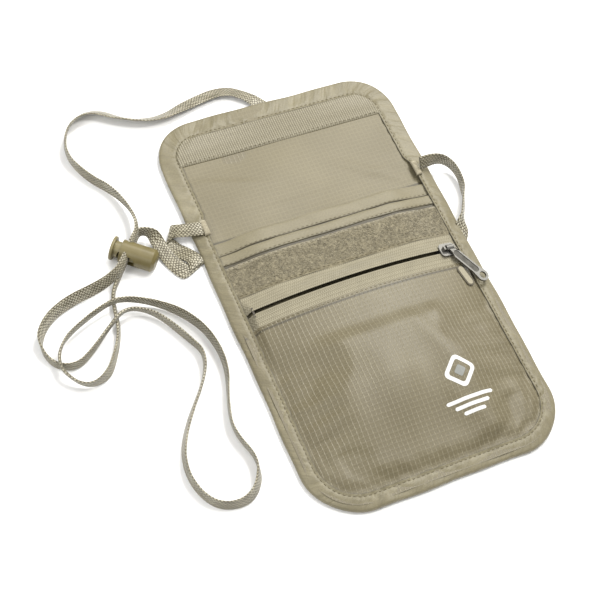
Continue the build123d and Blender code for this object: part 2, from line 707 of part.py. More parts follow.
print("pull hinge axis", bar_plane.x_dir, "through", bar_plane.origin)
slider_sweep = 2 * math.degrees(math.asin(SLIDER_X / ZIP_RADIUS))
print("slider arc centre", zip_axis.position, "sweep", slider_sweep)
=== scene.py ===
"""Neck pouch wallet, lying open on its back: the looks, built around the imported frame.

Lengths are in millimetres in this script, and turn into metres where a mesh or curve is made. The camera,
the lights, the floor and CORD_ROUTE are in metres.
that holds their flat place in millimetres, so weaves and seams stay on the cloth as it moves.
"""

import math

import bpy
import numpy as np
from mathutils import Matrix, Vector
from mathutils.bvhtree import BVHTree


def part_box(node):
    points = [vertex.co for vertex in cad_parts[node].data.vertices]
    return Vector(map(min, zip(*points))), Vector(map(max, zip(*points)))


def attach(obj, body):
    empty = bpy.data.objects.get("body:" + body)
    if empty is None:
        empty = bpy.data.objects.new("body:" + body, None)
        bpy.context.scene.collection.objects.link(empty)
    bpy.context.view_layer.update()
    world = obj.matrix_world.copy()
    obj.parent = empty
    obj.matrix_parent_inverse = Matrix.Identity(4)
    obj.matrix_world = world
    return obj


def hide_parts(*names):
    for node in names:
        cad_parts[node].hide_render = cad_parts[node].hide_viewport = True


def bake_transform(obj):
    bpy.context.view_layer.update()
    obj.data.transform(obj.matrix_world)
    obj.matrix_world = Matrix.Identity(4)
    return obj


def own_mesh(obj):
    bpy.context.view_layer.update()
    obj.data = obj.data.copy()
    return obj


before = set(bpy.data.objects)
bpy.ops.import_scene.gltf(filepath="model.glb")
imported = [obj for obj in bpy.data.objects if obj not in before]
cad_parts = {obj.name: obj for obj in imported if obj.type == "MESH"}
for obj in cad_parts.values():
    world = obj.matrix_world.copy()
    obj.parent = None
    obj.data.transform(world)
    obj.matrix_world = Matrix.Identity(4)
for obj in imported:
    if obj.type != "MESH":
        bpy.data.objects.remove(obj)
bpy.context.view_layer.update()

MM = 0.001
rng = np.random.default_rng(11)


# ---------------------------------------------------------------- sizes from the frame
def corners(node):
    """A CAD node's lowest and highest corner, in millimetres."""
    low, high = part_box(node)
    return [value / MM for value in low], [value / MM for value in high]


body_low, body_high = corners("body_border")
flap_low, flap_high = corners("flap_border")
HALF = body_high[0]
BOTTOM_Y = body_low[1]
TOP_Y = flap_high[1]
FOLD_Y = (body_high[1] + flap_low[1]) / 2
BORDER_TOP = body_high[2]
FLAP_UNDER = flap_low[2]
FLAP_TOP = flap_high[2]
BOTTOM_RADIUS = 29.0
FLAP_RADIUS = 24.5
BODY_BORDER = 8.5
FLAP_BORDER = 11.0

CARD_Y = corners("card_pocket")[1][1]
NOTE_Y = corners("note_pocket")[1][1]
CARD_HEM_Y = corners("card_pocket_hem")[0][1]
NOTE_HEM_Y = corners("note_pocket_hem")[0][1]
LOOP_LOW_Y, LOOP_HIGH_Y = corners("loop_strip")[0][1], corners("loop_strip")[1][1]
HOOK_LOW_Y, HOOK_HIGH_Y = corners("hook_strip")[0][1], corners("hook_strip")[1][1]
FRONT_Y = corners("front_panel")[1][1]
NOTE_CROWN = corners("note_pocket")[1][2]
CARD_CROWN = corners("card_pocket")[1][2]
FRONT_CROWN = corners("front_panel")[1][2]
ZIP_RADIUS = 273.0
ZIP_CROWN = 13.5
ZIP_Y = -4.5
ROW_SPACING = 3.4
COIL_HALF = 57.5
MOUTH_HALF = HALF - BODY_BORDER


# ---------------------------------------------------------------- camera, floor and light
CAMERA_PLACE = Vector((-0.23596, -0.28599, 0.59581))
CAMERA_BACK = Vector((-0.29758, -0.41096, 0.86171)).normalized()
CAMERA_ROLL = 0.25137
CAMERA_LENS = 80.2


def make_camera():
    """The camera at the photograph's height, turn and roll."""
    level = Vector((-CAMERA_BACK.y, CAMERA_BACK.x, 0)).normalized()
    upright = CAMERA_BACK.cross(level)
    right = level * math.cos(CAMERA_ROLL) + upright * math.sin(CAMERA_ROLL)
    up = upright * math.cos(CAMERA_ROLL) - level * math.sin(CAMERA_ROLL)
    data = bpy.data.cameras.new("camera")
    data.lens = CAMERA_LENS
    data.sensor_width = 36
    data.clip_start = 0.01
    camera = bpy.data.objects.new("camera", data)
    facing = Matrix((right, up, CAMERA_BACK)).transposed().to_4x4()
    camera.matrix_world = Matrix.Translation(CAMERA_PLACE) @ facing
    bpy.context.collection.objects.link(camera)
    bpy.context.scene.camera = camera


def area_light(name, place, size, power, colour=(1, 1, 1)):
    """A soft square light that points at the middle of the pouch."""
    data = bpy.data.lights.new(name, "AREA")
    data.shape = "SQUARE"
    data.size = size
    data.energy = power
    data.color = colour
    light = bpy.data.objects.new(name, data)
    light.location = place
    light.rotation_euler = (Vector((0, 0, 0)) - Vector(place)).to_track_quat("-Z", "Y").to_euler()
    bpy.context.collection.objects.link(light)


def make_studio():
    """A pale floor, an even sky and four soft lights: a key, a fill, a strip and a top light."""
    world = bpy.data.worlds.new("studio")
    world.use_nodes = True
    world.node_tree.nodes["Background"].inputs["Color"].default_value = (1.0, 1.0, 1.0, 1)
    world.node_tree.nodes["Background"].inputs["Strength"].default_value = 0.55
    bpy.context.scene.world = world
    bpy.context.scene.view_settings.view_transform = "Standard"
    area_light("key", (0.62, 0.66, 1.15), 0.45, 21, (1.0, 0.985, 0.955))
    area_light("fill", (-0.9, -0.2, 0.9), 0.7, 5.5, (1.0, 0.99, 0.975))
    area_light("strip", (0.43, -0.06, 1.12), 0.26, 6.5, (1.0, 0.99, 0.97))
    area_light("top", (-0.35, 0.35, 1.4), 0.5, 3.5)
    bpy.ops.mesh.primitive_plane_add(size=60, location=(0, 0, -0.0002))
    floor = bpy.context.object
    floor.name = "floor"
    floor.data.materials.append(floor_material())


# ---------------------------------------------------------------- materials
class Shader:
    """A node material, with short calls for the nodes that the materials here share."""

    def __init__(self, name):
        self.material = bpy.data.materials.new(name)
        self.material.use_nodes = True
        self.tree = self.material.node_tree
        self.surface = self.tree.nodes["Principled BSDF"]

    def node(self, kind, values=(), **settings):
        made = self.tree.nodes.new("ShaderNode" + kind)
        for key, value in settings.items():
            setattr(made, key, value)
        for key, value in dict(values).items():
            if isinstance(value, bpy.types.NodeSocket):
                self.tree.links.new(value, made.inputs[key])
            else:
                made.inputs[key].default_value = value
        return made

    def sum(self, operation, first, second=0.0):
        return self.node("Math", {0: first, 1: second}, operation=operation).outputs[0]

    def plan(self):
        """The cloth's flat place in millimetres, as separate sockets and as a vector."""
        uv = self.node("UVMap", uv_map="plan").outputs[0]
        flat = self.node("VectorMath", {0: uv, 1: (100, 100, 100)}, operation="MULTIPLY").outputs[0]
        parts = self.node("SeparateXYZ", {0: flat})
        return parts.outputs[0], parts.outputs[1], flat

    def place(self):
        """The object's own place in millimetres."""
        where = self.node("TexCoord").outputs["Object"]
        return self.node("VectorMath", {0: where, 1: (1000, 1000, 1000)}, operation="MULTIPLY").outputs[0]

    def noise(self, where, size, detail=3.0, rough=0.5):
        """Noise whose blotches are about size millimetres across."""
        made = self.node("TexNoise", {"Vector": where, "Scale": 1 / size, "Detail": detail, "Roughness": rough})
        return made.outputs["Fac"]

    def stripes(self, along, pitch, share):
        """1 on lines of that share of the pitch, 0 between them, with soft edges."""
        turned = self.sum("MULTIPLY", along, 2 * math.pi / pitch)
        crest = self.sum("COSINE", turned)
        edge = math.cos(math.pi * share)
        return self.node("MapRange", {0: crest, 1: edge - 0.25, 2: min(edge + 0.2, 0.999), 3: 0.0, 4: 1.0},
                         interpolation_type="SMOOTHSTEP").outputs[0]

    def wave(self, along, pitch):
        """A smooth wave from 0 to 1."""
        crest = self.sum("SINE", self.sum("MULTIPLY", along, 2 * math.pi / pitch))
        return self.sum("MULTIPLY", self.sum("ADD", crest, 1.0), 0.5)

    def shade_lines(self, along, places, half):
        """1 beside lines at those places and 0 away from them, fading over half a millimetre or so: the mask for
        painted shade lines.
        """
        total = None
        for place in places:
            gap = self.sum("ABSOLUTE", self.sum("SUBTRACT", along, place))
            near = self.spread(gap, half, half + 0.7, 1.0, 0.0)
            total = near if total is None else self.sum("MAXIMUM", total, near)
        return total

    def spread(self, value, low, high, new_low=0.0, new_high=1.0):
        return self.node("MapRange", {0: value, 1: low, 2: high, 3: new_low, 4: new_high}).outputs[0]

    def mix(self, share, first, second):
        """A colour between two colours, each a tuple or a socket."""
        values = {0: share, 6: first, 7: second}
        for key in (6, 7):
            if isinstance(values[key], tuple):
                values[key] = (*values[key], 1.0)
        return self.node("Mix", values, data_type="RGBA").outputs[2]

    def shade(self, colour, factor):
        """A colour made darker or lighter by a socket around 1."""
        return self.node("VectorMath", {0: colour, "Scale": factor}, operation="SCALE").outputs[0]

    def bump(self, height, distance, strength=1.0, under=None):
        values = {"Height": height, "Distance": distance * MM, "Strength": strength}
        if under is not None:
            values["Normal"] = under
        return self.node("Bump", values).outputs[0]

    def finish(self, colour, roughness, normal=None, **constants):
        for key, value in (("Base Color", colour), ("Roughness", roughness), ("Normal", normal)):
            if isinstance(value, bpy.types.NodeSocket):
                self.tree.links.new(value, self.surface.inputs[key])
            elif value is not None:
                self.surface.inputs[key].default_value = value
        for key, value in constants.items():
            self.surface.inputs[key.replace("_", " ")].default_value = value
        return self.material


CLOTH_SHEEN = {"Sheen_Weight": 0.25, "Sheen_Roughness": 0.4}


def floor_material():
    """Matt white paper with the faintest mottle."""
    made = Shader("studio_paper")
    mottle = made.noise(made.place(), 60)
    colour = made.mix(mottle, (0.92, 0.92, 0.915), (0.945, 0.945, 0.94))
    return made.finish(colour, 0.9)


def ripstop_material(name, dark, light):
    """Coated ripstop nylon: a fine plain weave with a raised, paler double thread every few millimetres, its
    paleness partly the grid's own tone and partly painted sheen.
    """
    made = Shader(name)
    x, y, flat = made.plan()
    drift = made.spread(made.noise(flat, 9, 2), 0.3, 0.7, -0.16, 0.16)
    lines_x = made.stripes(made.sum("ADD", x, drift), RIPSTOP_PITCH, 0.1)
    lines_y = made.stripes(made.sum("ADD", y, drift), RIPSTOP_PITCH, 0.1)
    # The paler grid threads are partly the grid's own tone and partly painted sheen: brighter along the length,
    # fainter across it, and broken into dashes.
    dashes = made.sum("ADD", made.sum("MULTIPLY", made.wave(y, RIPSTOP_PITCH), 0.6), 0.4)
    broken = made.sum("MULTIPLY", dashes, made.spread(made.noise(flat, 1.1, 2), 0.35, 0.6, 0.5, 1.0))
    threads = made.sum("MAXIMUM", lines_x, made.sum("MULTIPLY", lines_y, 0.3))
    grid_and_sheen = made.sum("MULTIPLY", threads, broken)
    weave = made.sum("MULTIPLY", made.wave(x, 0.62), made.wave(y, 0.62))
    cloud = made.noise(flat, 34, 3)
    fine = made.noise(flat, 0.7, 2)
    base = made.mix(made.spread(cloud, 0.3, 0.7), dark, light)
    speckled = made.shade(base, made.spread(fine, 0.3, 0.7, 0.86, 1.14))
    lighter = made.mix(0.5, made.shade(speckled, 1.6), (0.37, 0.34, 0.26))
    gridded = made.mix(made.sum("MULTIPLY", grid_and_sheen, 0.62), speckled, lighter)
    # Painted shade: a dark line on the cloth just below the zip tape's lower edge.
    shade_line = made.shade_lines(y, (FRONT_Y - 2.3,), 0.25)
    colour = made.mix(made.sum("MULTIPLY", shade_line, 0.8), gridded, SHADE_LINE_DARK)
    woven = made.bump(weave, 0.06, 0.6)
    normal = made.bump(threads, 0.12, 0.6, woven)
    rough = made.spread(fine, 0.2, 0.8, 0.38, 0.52)
    return made.finish(colour, rough, normal, Specular_IOR_Level=0.42, Sheen_Weight=0.08, Sheen_Roughness=0.4)


def plain_cloth_material(name, dark, light, pitch=0.7, rough=0.62, shade_places=(), half=0.3,
                         thread_grid=0.0, pucker_shade=0.0):
    """A plain or twill woven tape: fine diagonal ribs and cloudy tone, with painted shade lines at given places
    across it and painted shade and light over its puckers.
    """
    made = Shader(name)
    x, y, flat = made.plan()
    twill = made.wave(made.sum("ADD", x, y), pitch)
    cross = made.wave(made.sum("SUBTRACT", x, y), pitch * 1.3)
    weave = made.sum("MULTIPLY", twill, cross)
    cloud = made.noise(flat, 45, 2)
    fine = made.noise(flat, 0.9, 2)
    base = made.mix(made.spread(cloud, 0.25, 0.75), dark, light)
    colour = made.shade(base, made.spread(fine, 0.25, 0.75, 0.88, 1.1))
    if thread_grid:
        lines = made.sum("MAXIMUM", made.stripes(x, RIPSTOP_PITCH, 0.12), made.stripes(y, RIPSTOP_PITCH, 0.12))
        colour = made.mix(made.sum("MULTIPLY", lines, thread_grid), colour, made.shade(base, 1.6))
    # Painted shade: dark lines across the cloth beside the edges of the layers that lie on it.
    if shade_places:
        shade_line = made.shade_lines(y, shade_places, half)
        colour = made.mix(made.sum("MULTIPLY", shade_line, 0.85), colour, SHADE_LINE_DARK)
    slub = made.bump(fine, 0.1, 0.35)
    normal = made.bump(weave, 0.06, 0.6, slub)
    if pucker_shade:
        leaning = made.sum("ADD", x, made.sum("MULTIPLY", y, 0.55))
        drawn = made.node("CombineXYZ", {0: leaning, 1: made.sum("MULTIPLY", y, 0.25)}).outputs[0]
        fold = made.noise(drawn, 4.2, 2)
        # Painted shade and light: the colour darkens and lightens with the same pucker folds that the bump below
        # draws.
        colour = made.shade(colour, made.spread(fold, 0.3, 0.7, 1 - pucker_shade, 1 + pucker_shade))
        normal = made.bump(fold, 1.2, 0.8, normal)
    return made.finish(colour, rough, normal, Specular_IOR_Level=0.4, **CLOTH_SHEEN)


def herringbone_material(name, dark, light):
    """The zip's tape: narrow columns of slanting ribs that lean alternately, with painted shade in the grooves
    between the ribs.
    """
    made = Shader(name)
    x, y, flat = made.plan()
    column = made.sum("PINGPONG", y, 1.1)
    slant = made.wave(made.sum("ADD", x, made.sum("MULTIPLY", column, 1.1)), 1.15)
    gap = made.stripes(y, 2.2, 0.1)
    height = made.sum("MULTIPLY", slant, made.sum("SUBTRACT", 1.0, made.sum("MULTIPLY", gap, 0.7)))
    cloud = made.noise(flat, 8, 3)
    # Painted shade: the colour follows the ribs' relief, dark in the grooves.
    base = made.mix(height, dark, light)
    colour = made.shade(base, made.spread(cloud, 0.3, 0.7, 0.93, 1.07))
    normal = made.bump(height, 0.12, 0.8)
    return made.finish(colour, 0.66, normal, Specular_IOR_Level=0.3, **CLOTH_SHEEN)


def hook_material():
    """Moulded nylon hooks: pale crests in fine rows, with painted shade on the ground between them."""
    made = Shader("hook_nylon")
    x, y, flat = made.plan()
    rows = made.wave(x, HOOK_PITCH)
    dots = made.wave(y, 1.2)
    crest = made.sum("MULTIPLY", rows, made.sum("ADD", made.sum("MULTIPLY", dots, 0.6), 0.4))
    fine = made.noise(flat, 1.6, 3)
    # Painted shade: the colour follows the hooks' relief, dark on the ground between the rows.
    base = made.mix(made.spread(crest, 0.1, 0.8), (0.135, 0.118, 0.074), (0.275, 0.25, 0.178))
    colour = made.shade(base, made.spread(fine, 0.25, 0.75, 0.88, 1.12))
    normal = made.bump(crest, 0.2, 0.7)
    return made.finish(colour, 0.5, normal, Specular_IOR_Level=0.45)


def loop_material():
    """Fuzzy loop pile: mottled and matt, with painted shade in its pits."""
    made = Shader("loop_pile")
    _, _, flat = made.plan()
    clumps = made.noise(flat, 2.2, 5, 0.65)
    fuzz = made.noise(flat, 0.5, 4, 0.7)
    tone = made.sum("MULTIPLY", made.sum("ADD", clumps, fuzz), 0.5)
    # The mottled tone is random and also drives the bump, so the low pits carry painted shade.
    colour = made.mix(made.spread(tone, 0.38, 0.62), (0.1, 0.084, 0.046), (0.25, 0.218, 0.138))
    normal = made.bump(tone, 0.5, 0.9)
    return made.finish(colour, 0.95, normal, Specular_IOR_Level=0.1, Sheen_Weight=0.5, Sheen_Roughness=0.6)


def braid_material():
    """Flat braid: slanting yarns in narrow columns that lean alternately, with painted highlight on their tops and
    painted shade in the ditches between them.
    """
    made = Shader("cord_braid")
    along, across, flat = made.plan()
    column = made.sum("PINGPONG", across, BRAID_COLUMN)
    parity = made.sum("MODULO", made.sum("FLOOR", made.sum("DIVIDE", across, BRAID_COLUMN)), 2.0)
    stepped = made.sum("ADD", along, made.sum("MULTIPLY", parity, BRAID_PITCH / 2))
    slant = made.sum("ADD", stepped, made.sum("MULTIPLY", column, 0.6))
    yarn = made.spread(made.wave(slant, BRAID_PITCH), 0.12, 0.6)
    ditch = made.stripes(across, BRAID_COLUMN, 0.26)
    height = made.sum("MULTIPLY", yarn, made.sum("SUBTRACT", 1.0, made.sum("MULTIPLY", ditch, 0.9)))
    speck = made.noise(flat, 0.9, 4, 0.75)
    drawn = made.node("CombineXYZ", {0: made.sum("MULTIPLY", along, 0.14), 1: across}).outputs[0]
    strand = made.spread(made.noise(drawn, 1.0, 2), 0.36, 0.64, -0.3, 0.2)
    uneven = made.sum("ADD", made.spread(speck, 0.32, 0.68, -0.3, 0.3), strand)
    tone = made.sum("ADD", made.sum("MULTIPLY", height, 0.8), uneven)
    light = made.mix(made.spread(made.noise(flat, 26, 2), 0.35, 0.65), (0.33, 0.3, 0.205), (0.54, 0.505, 0.39))
    # Painted highlight and shade: over random tone, the colour runs from near black in the ditches to pale on the
    # yarns' tops.
    colour = made.mix(made.spread(tone, 0.0, 0.85), (0.06, 0.048, 0.02), light)
    normal = made.bump(height, 0.25, 0.9)
    return made.finish(colour, 0.42, normal, Specular_IOR_Level=0.55, Sheen_Weight=0.2, Sheen_Roughness=0.35)


def thread_material(name, colour):
    """Twisted sewing thread."""
    made = Shader(name)
    place = made.place()
    twist = made.noise(place, 0.4, 2)
    tone = made.shade(colour, made.spread(twist, 0.3, 0.7, 0.8, 1.2))
    return made.finish(tone, 0.55, made.bump(twist, 0.06, 0.6), Specular_IOR_Level=0.4)


def metal_material(name, colour, rough):
    """Plated zinc: brushed along its length, with bright worn edges and dull hollows."""
    made = Shader(name)
    place = made.place()
    stretched = made.node("VectorMath", {0: place, 1: (0.35, 1.6, 1.0)}, operation="MULTIPLY").outputs[0]
    brush = made.noise(stretched, 0.5, 4, 0.6)
    stain = made.noise(place, 3.5, 4)
    edge = made.node("NewGeometry").outputs["Pointiness"]
    wear = made.spread(edge, 0.49, 0.56)
    dull = made.shade(colour, made.spread(stain, 0.3, 0.7, 0.62, 1.0))
    bright = made.mix(made.sum("MULTIPLY", wear, 0.6), dull, (0.3, 0.293, 0.27))
    roughness = made.sum("ADD", made.spread(brush, 0.2, 0.8, rough - 0.1, rough + 0.16),
                         made.sum("MULTIPLY", stain, 0.08))
    return made.finish(bright, roughness, made.bump(brush, 0.03, 0.5), Metallic=1.0)


def plastic_material(name, colour, rough):
    """Moulded acetal: fine orange-peel, faint flow marks and rubbed spots."""
    made = Shader(name)
    place = made.place()
    peel = made.noise(place, 0.7, 3)
    flow = made.noise(place, 7, 3)
    tone = made.shade(colour, made.spread(flow, 0.3, 0.7, 0.9, 1.1))
    roughness = made.spread(peel, 0.25, 0.75, rough - 0.05, rough + 0.1)
    return made.finish(tone, roughness, made.bump(peel, 0.05, 0.35), Specular_IOR_Level=0.5)


def print_material(name, colour):
    """Screen-print ink: nearly flat, with the weave showing through."""
    made = Shader(name)
    x, y, flat = made.plan()
    weave = made.sum("MULTIPLY", made.wave(x, 0.62), made.wave(y, 0.62))
    tone = made.shade(colour, made.spread(made.noise(flat, 1.2, 3), 0.3, 0.7, 0.93, 1.05))
    return made.finish(tone, 0.48, made.bump(weave, 0.05, 0.5))


RIPSTOP_PITCH = 2.5
HOOK_PITCH = 1.3
BRAID_COLUMN = 1.1
BRAID_PITCH = 1.8
# Colour of the painted shade lines beside the edges of overlapping layers.
SHADE_LINE_DARK = (0.045, 0.038, 0.022)

ripstop = ripstop_material("ripstop", (0.108, 0.09, 0.048), (0.136, 0.116, 0.066))
# The lining has a painted shade line just above the card pocket's top edge.
lining = plain_cloth_material("lining", (0.13, 0.111, 0.063), (0.166, 0.143, 0.083), 0.6, 0.48, (CARD_Y + 1.3,),
                              0.35, 0.22)
# The pocket panels have painted shade lines just below the hems and along both edges of the loop strip.
panel_cloth = plain_cloth_material("panel_cloth", (0.1, 0.085, 0.048), (0.127, 0.109, 0.063), 0.6, 0.5,
                                   (CARD_HEM_Y - 0.4, NOTE_HEM_Y - 0.5, LOOP_HIGH_Y + 0.3, LOOP_LOW_Y - 0.4), 0.4)
# The binding has a painted shade line along its inner edge, and painted shade and light over its puckers.
binding = plain_cloth_material("binding", (0.15, 0.13, 0.076), (0.19, 0.168, 0.103), 0.8, 0.46, (0.1,), 0.6,
                               pucker_shade=0.09)
# The hems have painted shade along their lower edges.
hem_tape = plain_cloth_material("hem_tape", (0.16, 0.139, 0.084), (0.19, 0.167, 0.103), 0.6, 0.5,
                                (CARD_HEM_Y + 0.1, NOTE_HEM_Y + 0.1), 0.1)
zip_tape = herringbone_material("zip_tape", (0.16, 0.14, 0.09), (0.31, 0.283, 0.203))
hooks = hook_material()
loops = loop_material()
braid = braid_material()
thread = thread_material("thread", (0.11, 0.092, 0.05))
pale_thread = thread_material("pale_thread", (0.33, 0.295, 0.21))
dark_coil = plastic_material("zip_coil", (0.05, 0.04, 0.025), 0.4)
# The slider's plating is painted darker than the pull's same plating: painted shade under the pull.
shaded_slider_metal = metal_material("slider_metal", (0.07, 0.067, 0.058), 0.46)
pull_metal = metal_material("pull_metal", (0.11, 0.106, 0.094), 0.42)
spring_metal = metal_material("spring_metal", (0.45, 0.45, 0.46), 0.24)
lock_plastic = plastic_material("lock_plastic", (0.138, 0.112, 0.04), 0.36)
button_plastic = plastic_material("button_plastic", (0.175, 0.148, 0.067), 0.36)
ink = print_material("pale_ink", (0.6, 0.6, 0.585))
grey_ink = print_material("grey_ink", (0.2, 0.205, 0.185))
tab_cloth = plain_cloth_material("tab_cloth", (0.2, 0.176, 0.113), (0.29, 0.262, 0.186), 0.5)
tab_rim = plain_cloth_material("tab_rim", (0.05, 0.042, 0.026), (0.09, 0.076, 0.05), 0.5)


# ---------------------------------------------------------------- mesh helpers
def smooth(value):
    """0 below 0, 1 above 1, and a soft step between."""
    value = np.clip(value, 0, 1)
    return value * value * (3 - 2 * value)


def ripple(x, y, size, seed, count=7):
    """Smooth random unevenness of about -1 to 1, whose hollows are about size across."""
    draw = np.random.default_rng(seed)
    total = np.zeros_like(np.asarray(x, float))
    for _ in range(count):
        angle = draw.uniform(0, math.pi)
        wave = 2 * math.pi / (size * draw.uniform(1.1, 2.6))
        total = total + np.sin((x * math.cos(angle) + y * math.sin(angle)) * wave + draw.uniform(0, 6.28))
    return total / math.sqrt(count) * 0.8


def make_mesh(name, points, faces, uvs, material):
    """A smooth-shaded piece from points and per-face-corner flat places, all in millimetres."""
    mesh = bpy.data.meshes.new(name)
    mesh.from_pydata((np.asarray(points) * MM).tolist(), [], faces)
    layer = mesh.uv_layers.new(name="plan")
    layer.data.foreach_set("uv", (np.asarray(uvs, float) / 100).ravel())
    mesh.polygons.foreach_set("use_smooth", [True] * len(mesh.polygons))
    mesh.update()
    made = bpy.data.objects.new(name, mesh)
    made.data.materials.append(material)
    bpy.context.collection.objects.link(made)
    return made


def surface(name, x, y, z, thickness, material, wrap=False):
    """A closed thin sheet: a grid of top points, the same grid lowered, and a rim that joins them."""
    rows, columns = x.shape
    top = np.stack([x, y, z], -1).reshape(-1, 3)
    under = top - np.array([0, 0, thickness])
    count = rows * columns
    faces = []
    last = columns if wrap else columns - 1
    for row in range(rows - 1):
        for column in range(last):
            a = row * columns + column
            b = row * columns + (column + 1) % columns
            c, d = b + columns, a + columns
            faces.append((a, b, c, d))
            faces.append((d + count, c + count, b + count, a + count))
    edges = []
    for column in range(last):
        following = (column + 1) % columns
        edges.append((following, column))
        edges.append(((rows - 1) * columns + column, (rows - 1) * columns + following))
    if not wrap:
        for row in range(rows - 1):
            edges.append((row * columns, (row + 1) * columns))
            edges.append(((row + 1) * columns + columns - 1, row * columns + columns - 1))
    faces += [(a, b, b + count, a + count) for a, b in edges]
    points = np.concatenate([top, under])
    uvs = points[np.array([index for face in faces for index in face]), :2]
    made = make_mesh(name, points, faces, uvs, material)
    made.data.set_sharp_from_angle(angle=math.radians(50))
    return made


def half_width(y, inset):
    """Half the pouch's width at y, inset from its outline, with its rounded corners."""
    y = np.asarray(y, float)
    half = HALF - inset
    low = np.clip((BOTTOM_Y + BOTTOM_RADIUS - y) / (BOTTOM_RADIUS - inset), 0, 1)
    high = np.clip((y - TOP_Y + FLAP_RADIUS) / (FLAP_RADIUS - inset), 0, 1)
    half = half - (BOTTOM_RADIUS - inset) * (1 - np.sqrt(1 - low**2))
    return half - (FLAP_RADIUS - inset) * (1 - np.sqrt(1 - high**2))


def grid(low_y, high_y, inset, step, columns):
    """Rows of points across the pouch between two heights, closer together where the outline rounds."""
    count = max(4, int((high_y - low_y) / step))
    share = np.linspace(0, 1, count + 1)
    y = low_y + (high_y - low_y) * share
    if low_y < BOTTOM_Y + BOTTOM_RADIUS:
        bend = BOTTOM_Y + BOTTOM_RADIUS - low_y
        extra = low_y + bend * (1 - np.cos(np.linspace(0, math.pi / 2, 18)))
        y = np.unique(np.round(np.concatenate([y[y > low_y + bend], extra]), 4))
    if high_y > TOP_Y - FLAP_RADIUS:
        bend = high_y - (TOP_Y - FLAP_RADIUS)
        extra = high_y - bend * (1 - np.cos(np.linspace(0, math.pi / 2, 16)))
        y = np.unique(np.round(np.concatenate([y[y < high_y - bend], extra]), 4))
    across = np.linspace(-1, 1, columns)
    return across[None, :] * half_width(y, inset)[:, None], np.repeat(y[:, None], columns, 1)


class Ground:
    """The top of finished pieces, for laying stitches and prints on them."""

    def __init__(self, *pieces):
        self.trees = []
        for piece in pieces:
            points = [vertex.co / MM for vertex in piece.data.vertices]
            faces = [tuple(face.vertices) for face in piece.data.polygons]
            self.trees.append(BVHTree.FromPolygons(points, faces))

    def height(self, x, y):
        """The highest surface under a place, or None beside the pieces."""
        found = []
        for tree in self.trees:
            hit = tree.ray_cast(Vector((x, y, 60)), Vector((0, 0, -1)))[0]
            if hit is not None:
                found.append(hit.z)
        return max(found) if found else None


def stitches(name, lines, ground, pitch=2.7, length=2.0, thick=0.42, sink=0.1):
    """Sewing stitches along lines of (x, y): short threads that dip into the cloth at both ends."""
    points, faces = [], []
    sides = 6
    for line in lines:
        line = np.asarray(line, float)
        steps = np.hypot(*np.diff(line, axis=0).T)
        reach = np.concatenate([[0], np.cumsum(steps)])
        for start in np.arange(0.4, reach[-1] - length, pitch):
            spots = [start, start + length * 0.25, start + length * 0.75, start + length]
            path = []
            for spot, rise in zip(spots, (-0.16, 0.1, 0.1, -0.16)):
                x, y = np.interp(spot, reach, line[:, 0]), np.interp(spot, reach, line[:, 1])
                z = ground.height(x, y)
                if z is None:
                    path = []
                    break
                path.append(np.array([x, y, z + rise - sink]))
            if not path:
                continue
            along = (path[-1] - path[0]) / np.linalg.norm(path[-1] - path[0])
            side = np.cross([0, 0, 1], along)
            side = side / np.linalg.norm(side)
            up = np.cross(along, side)
            base = len(points)
            for spot, girth in zip(path, (0.45, 1, 1, 0.45)):
                for index in range(sides):
                    turn = 2 * math.pi * index / sides
                    points.append(spot + (side * math.cos(turn) + up * math.sin(turn)) * thick / 2 * girth)
            for ring in range(3):
                for index in range(sides):
                    a = base + ring * sides + index
                    b = base + ring * sides + (index + 1) % sides
                    faces.append((a, b, b + sides, a + sides))
            faces.append(tuple(base + index for index in reversed(range(sides))))
            faces.append(tuple(base + 3 * sides + index for index in range(sides)))
    points = np.array(points)
    uvs = points[np.array([index for face in faces for index in face]), :2]
    return make_mesh(name, points, faces, uvs, thread)


# ---------------------------------------------------------------- the neck cord
def lock_point(station, across, lift):
    """A point in the cord lock, in metres: along its axis, across it and above it."""
    start = Vector((-0.1120, 0.0557, 0.0064))
    axis = Vector((0.768, -0.640, 0)).normalized()
    side = Vector((-0.640, -0.768, 0)).normalized()
    return tuple(start + axis * station + side * across + Vector((0, 0, lift)))


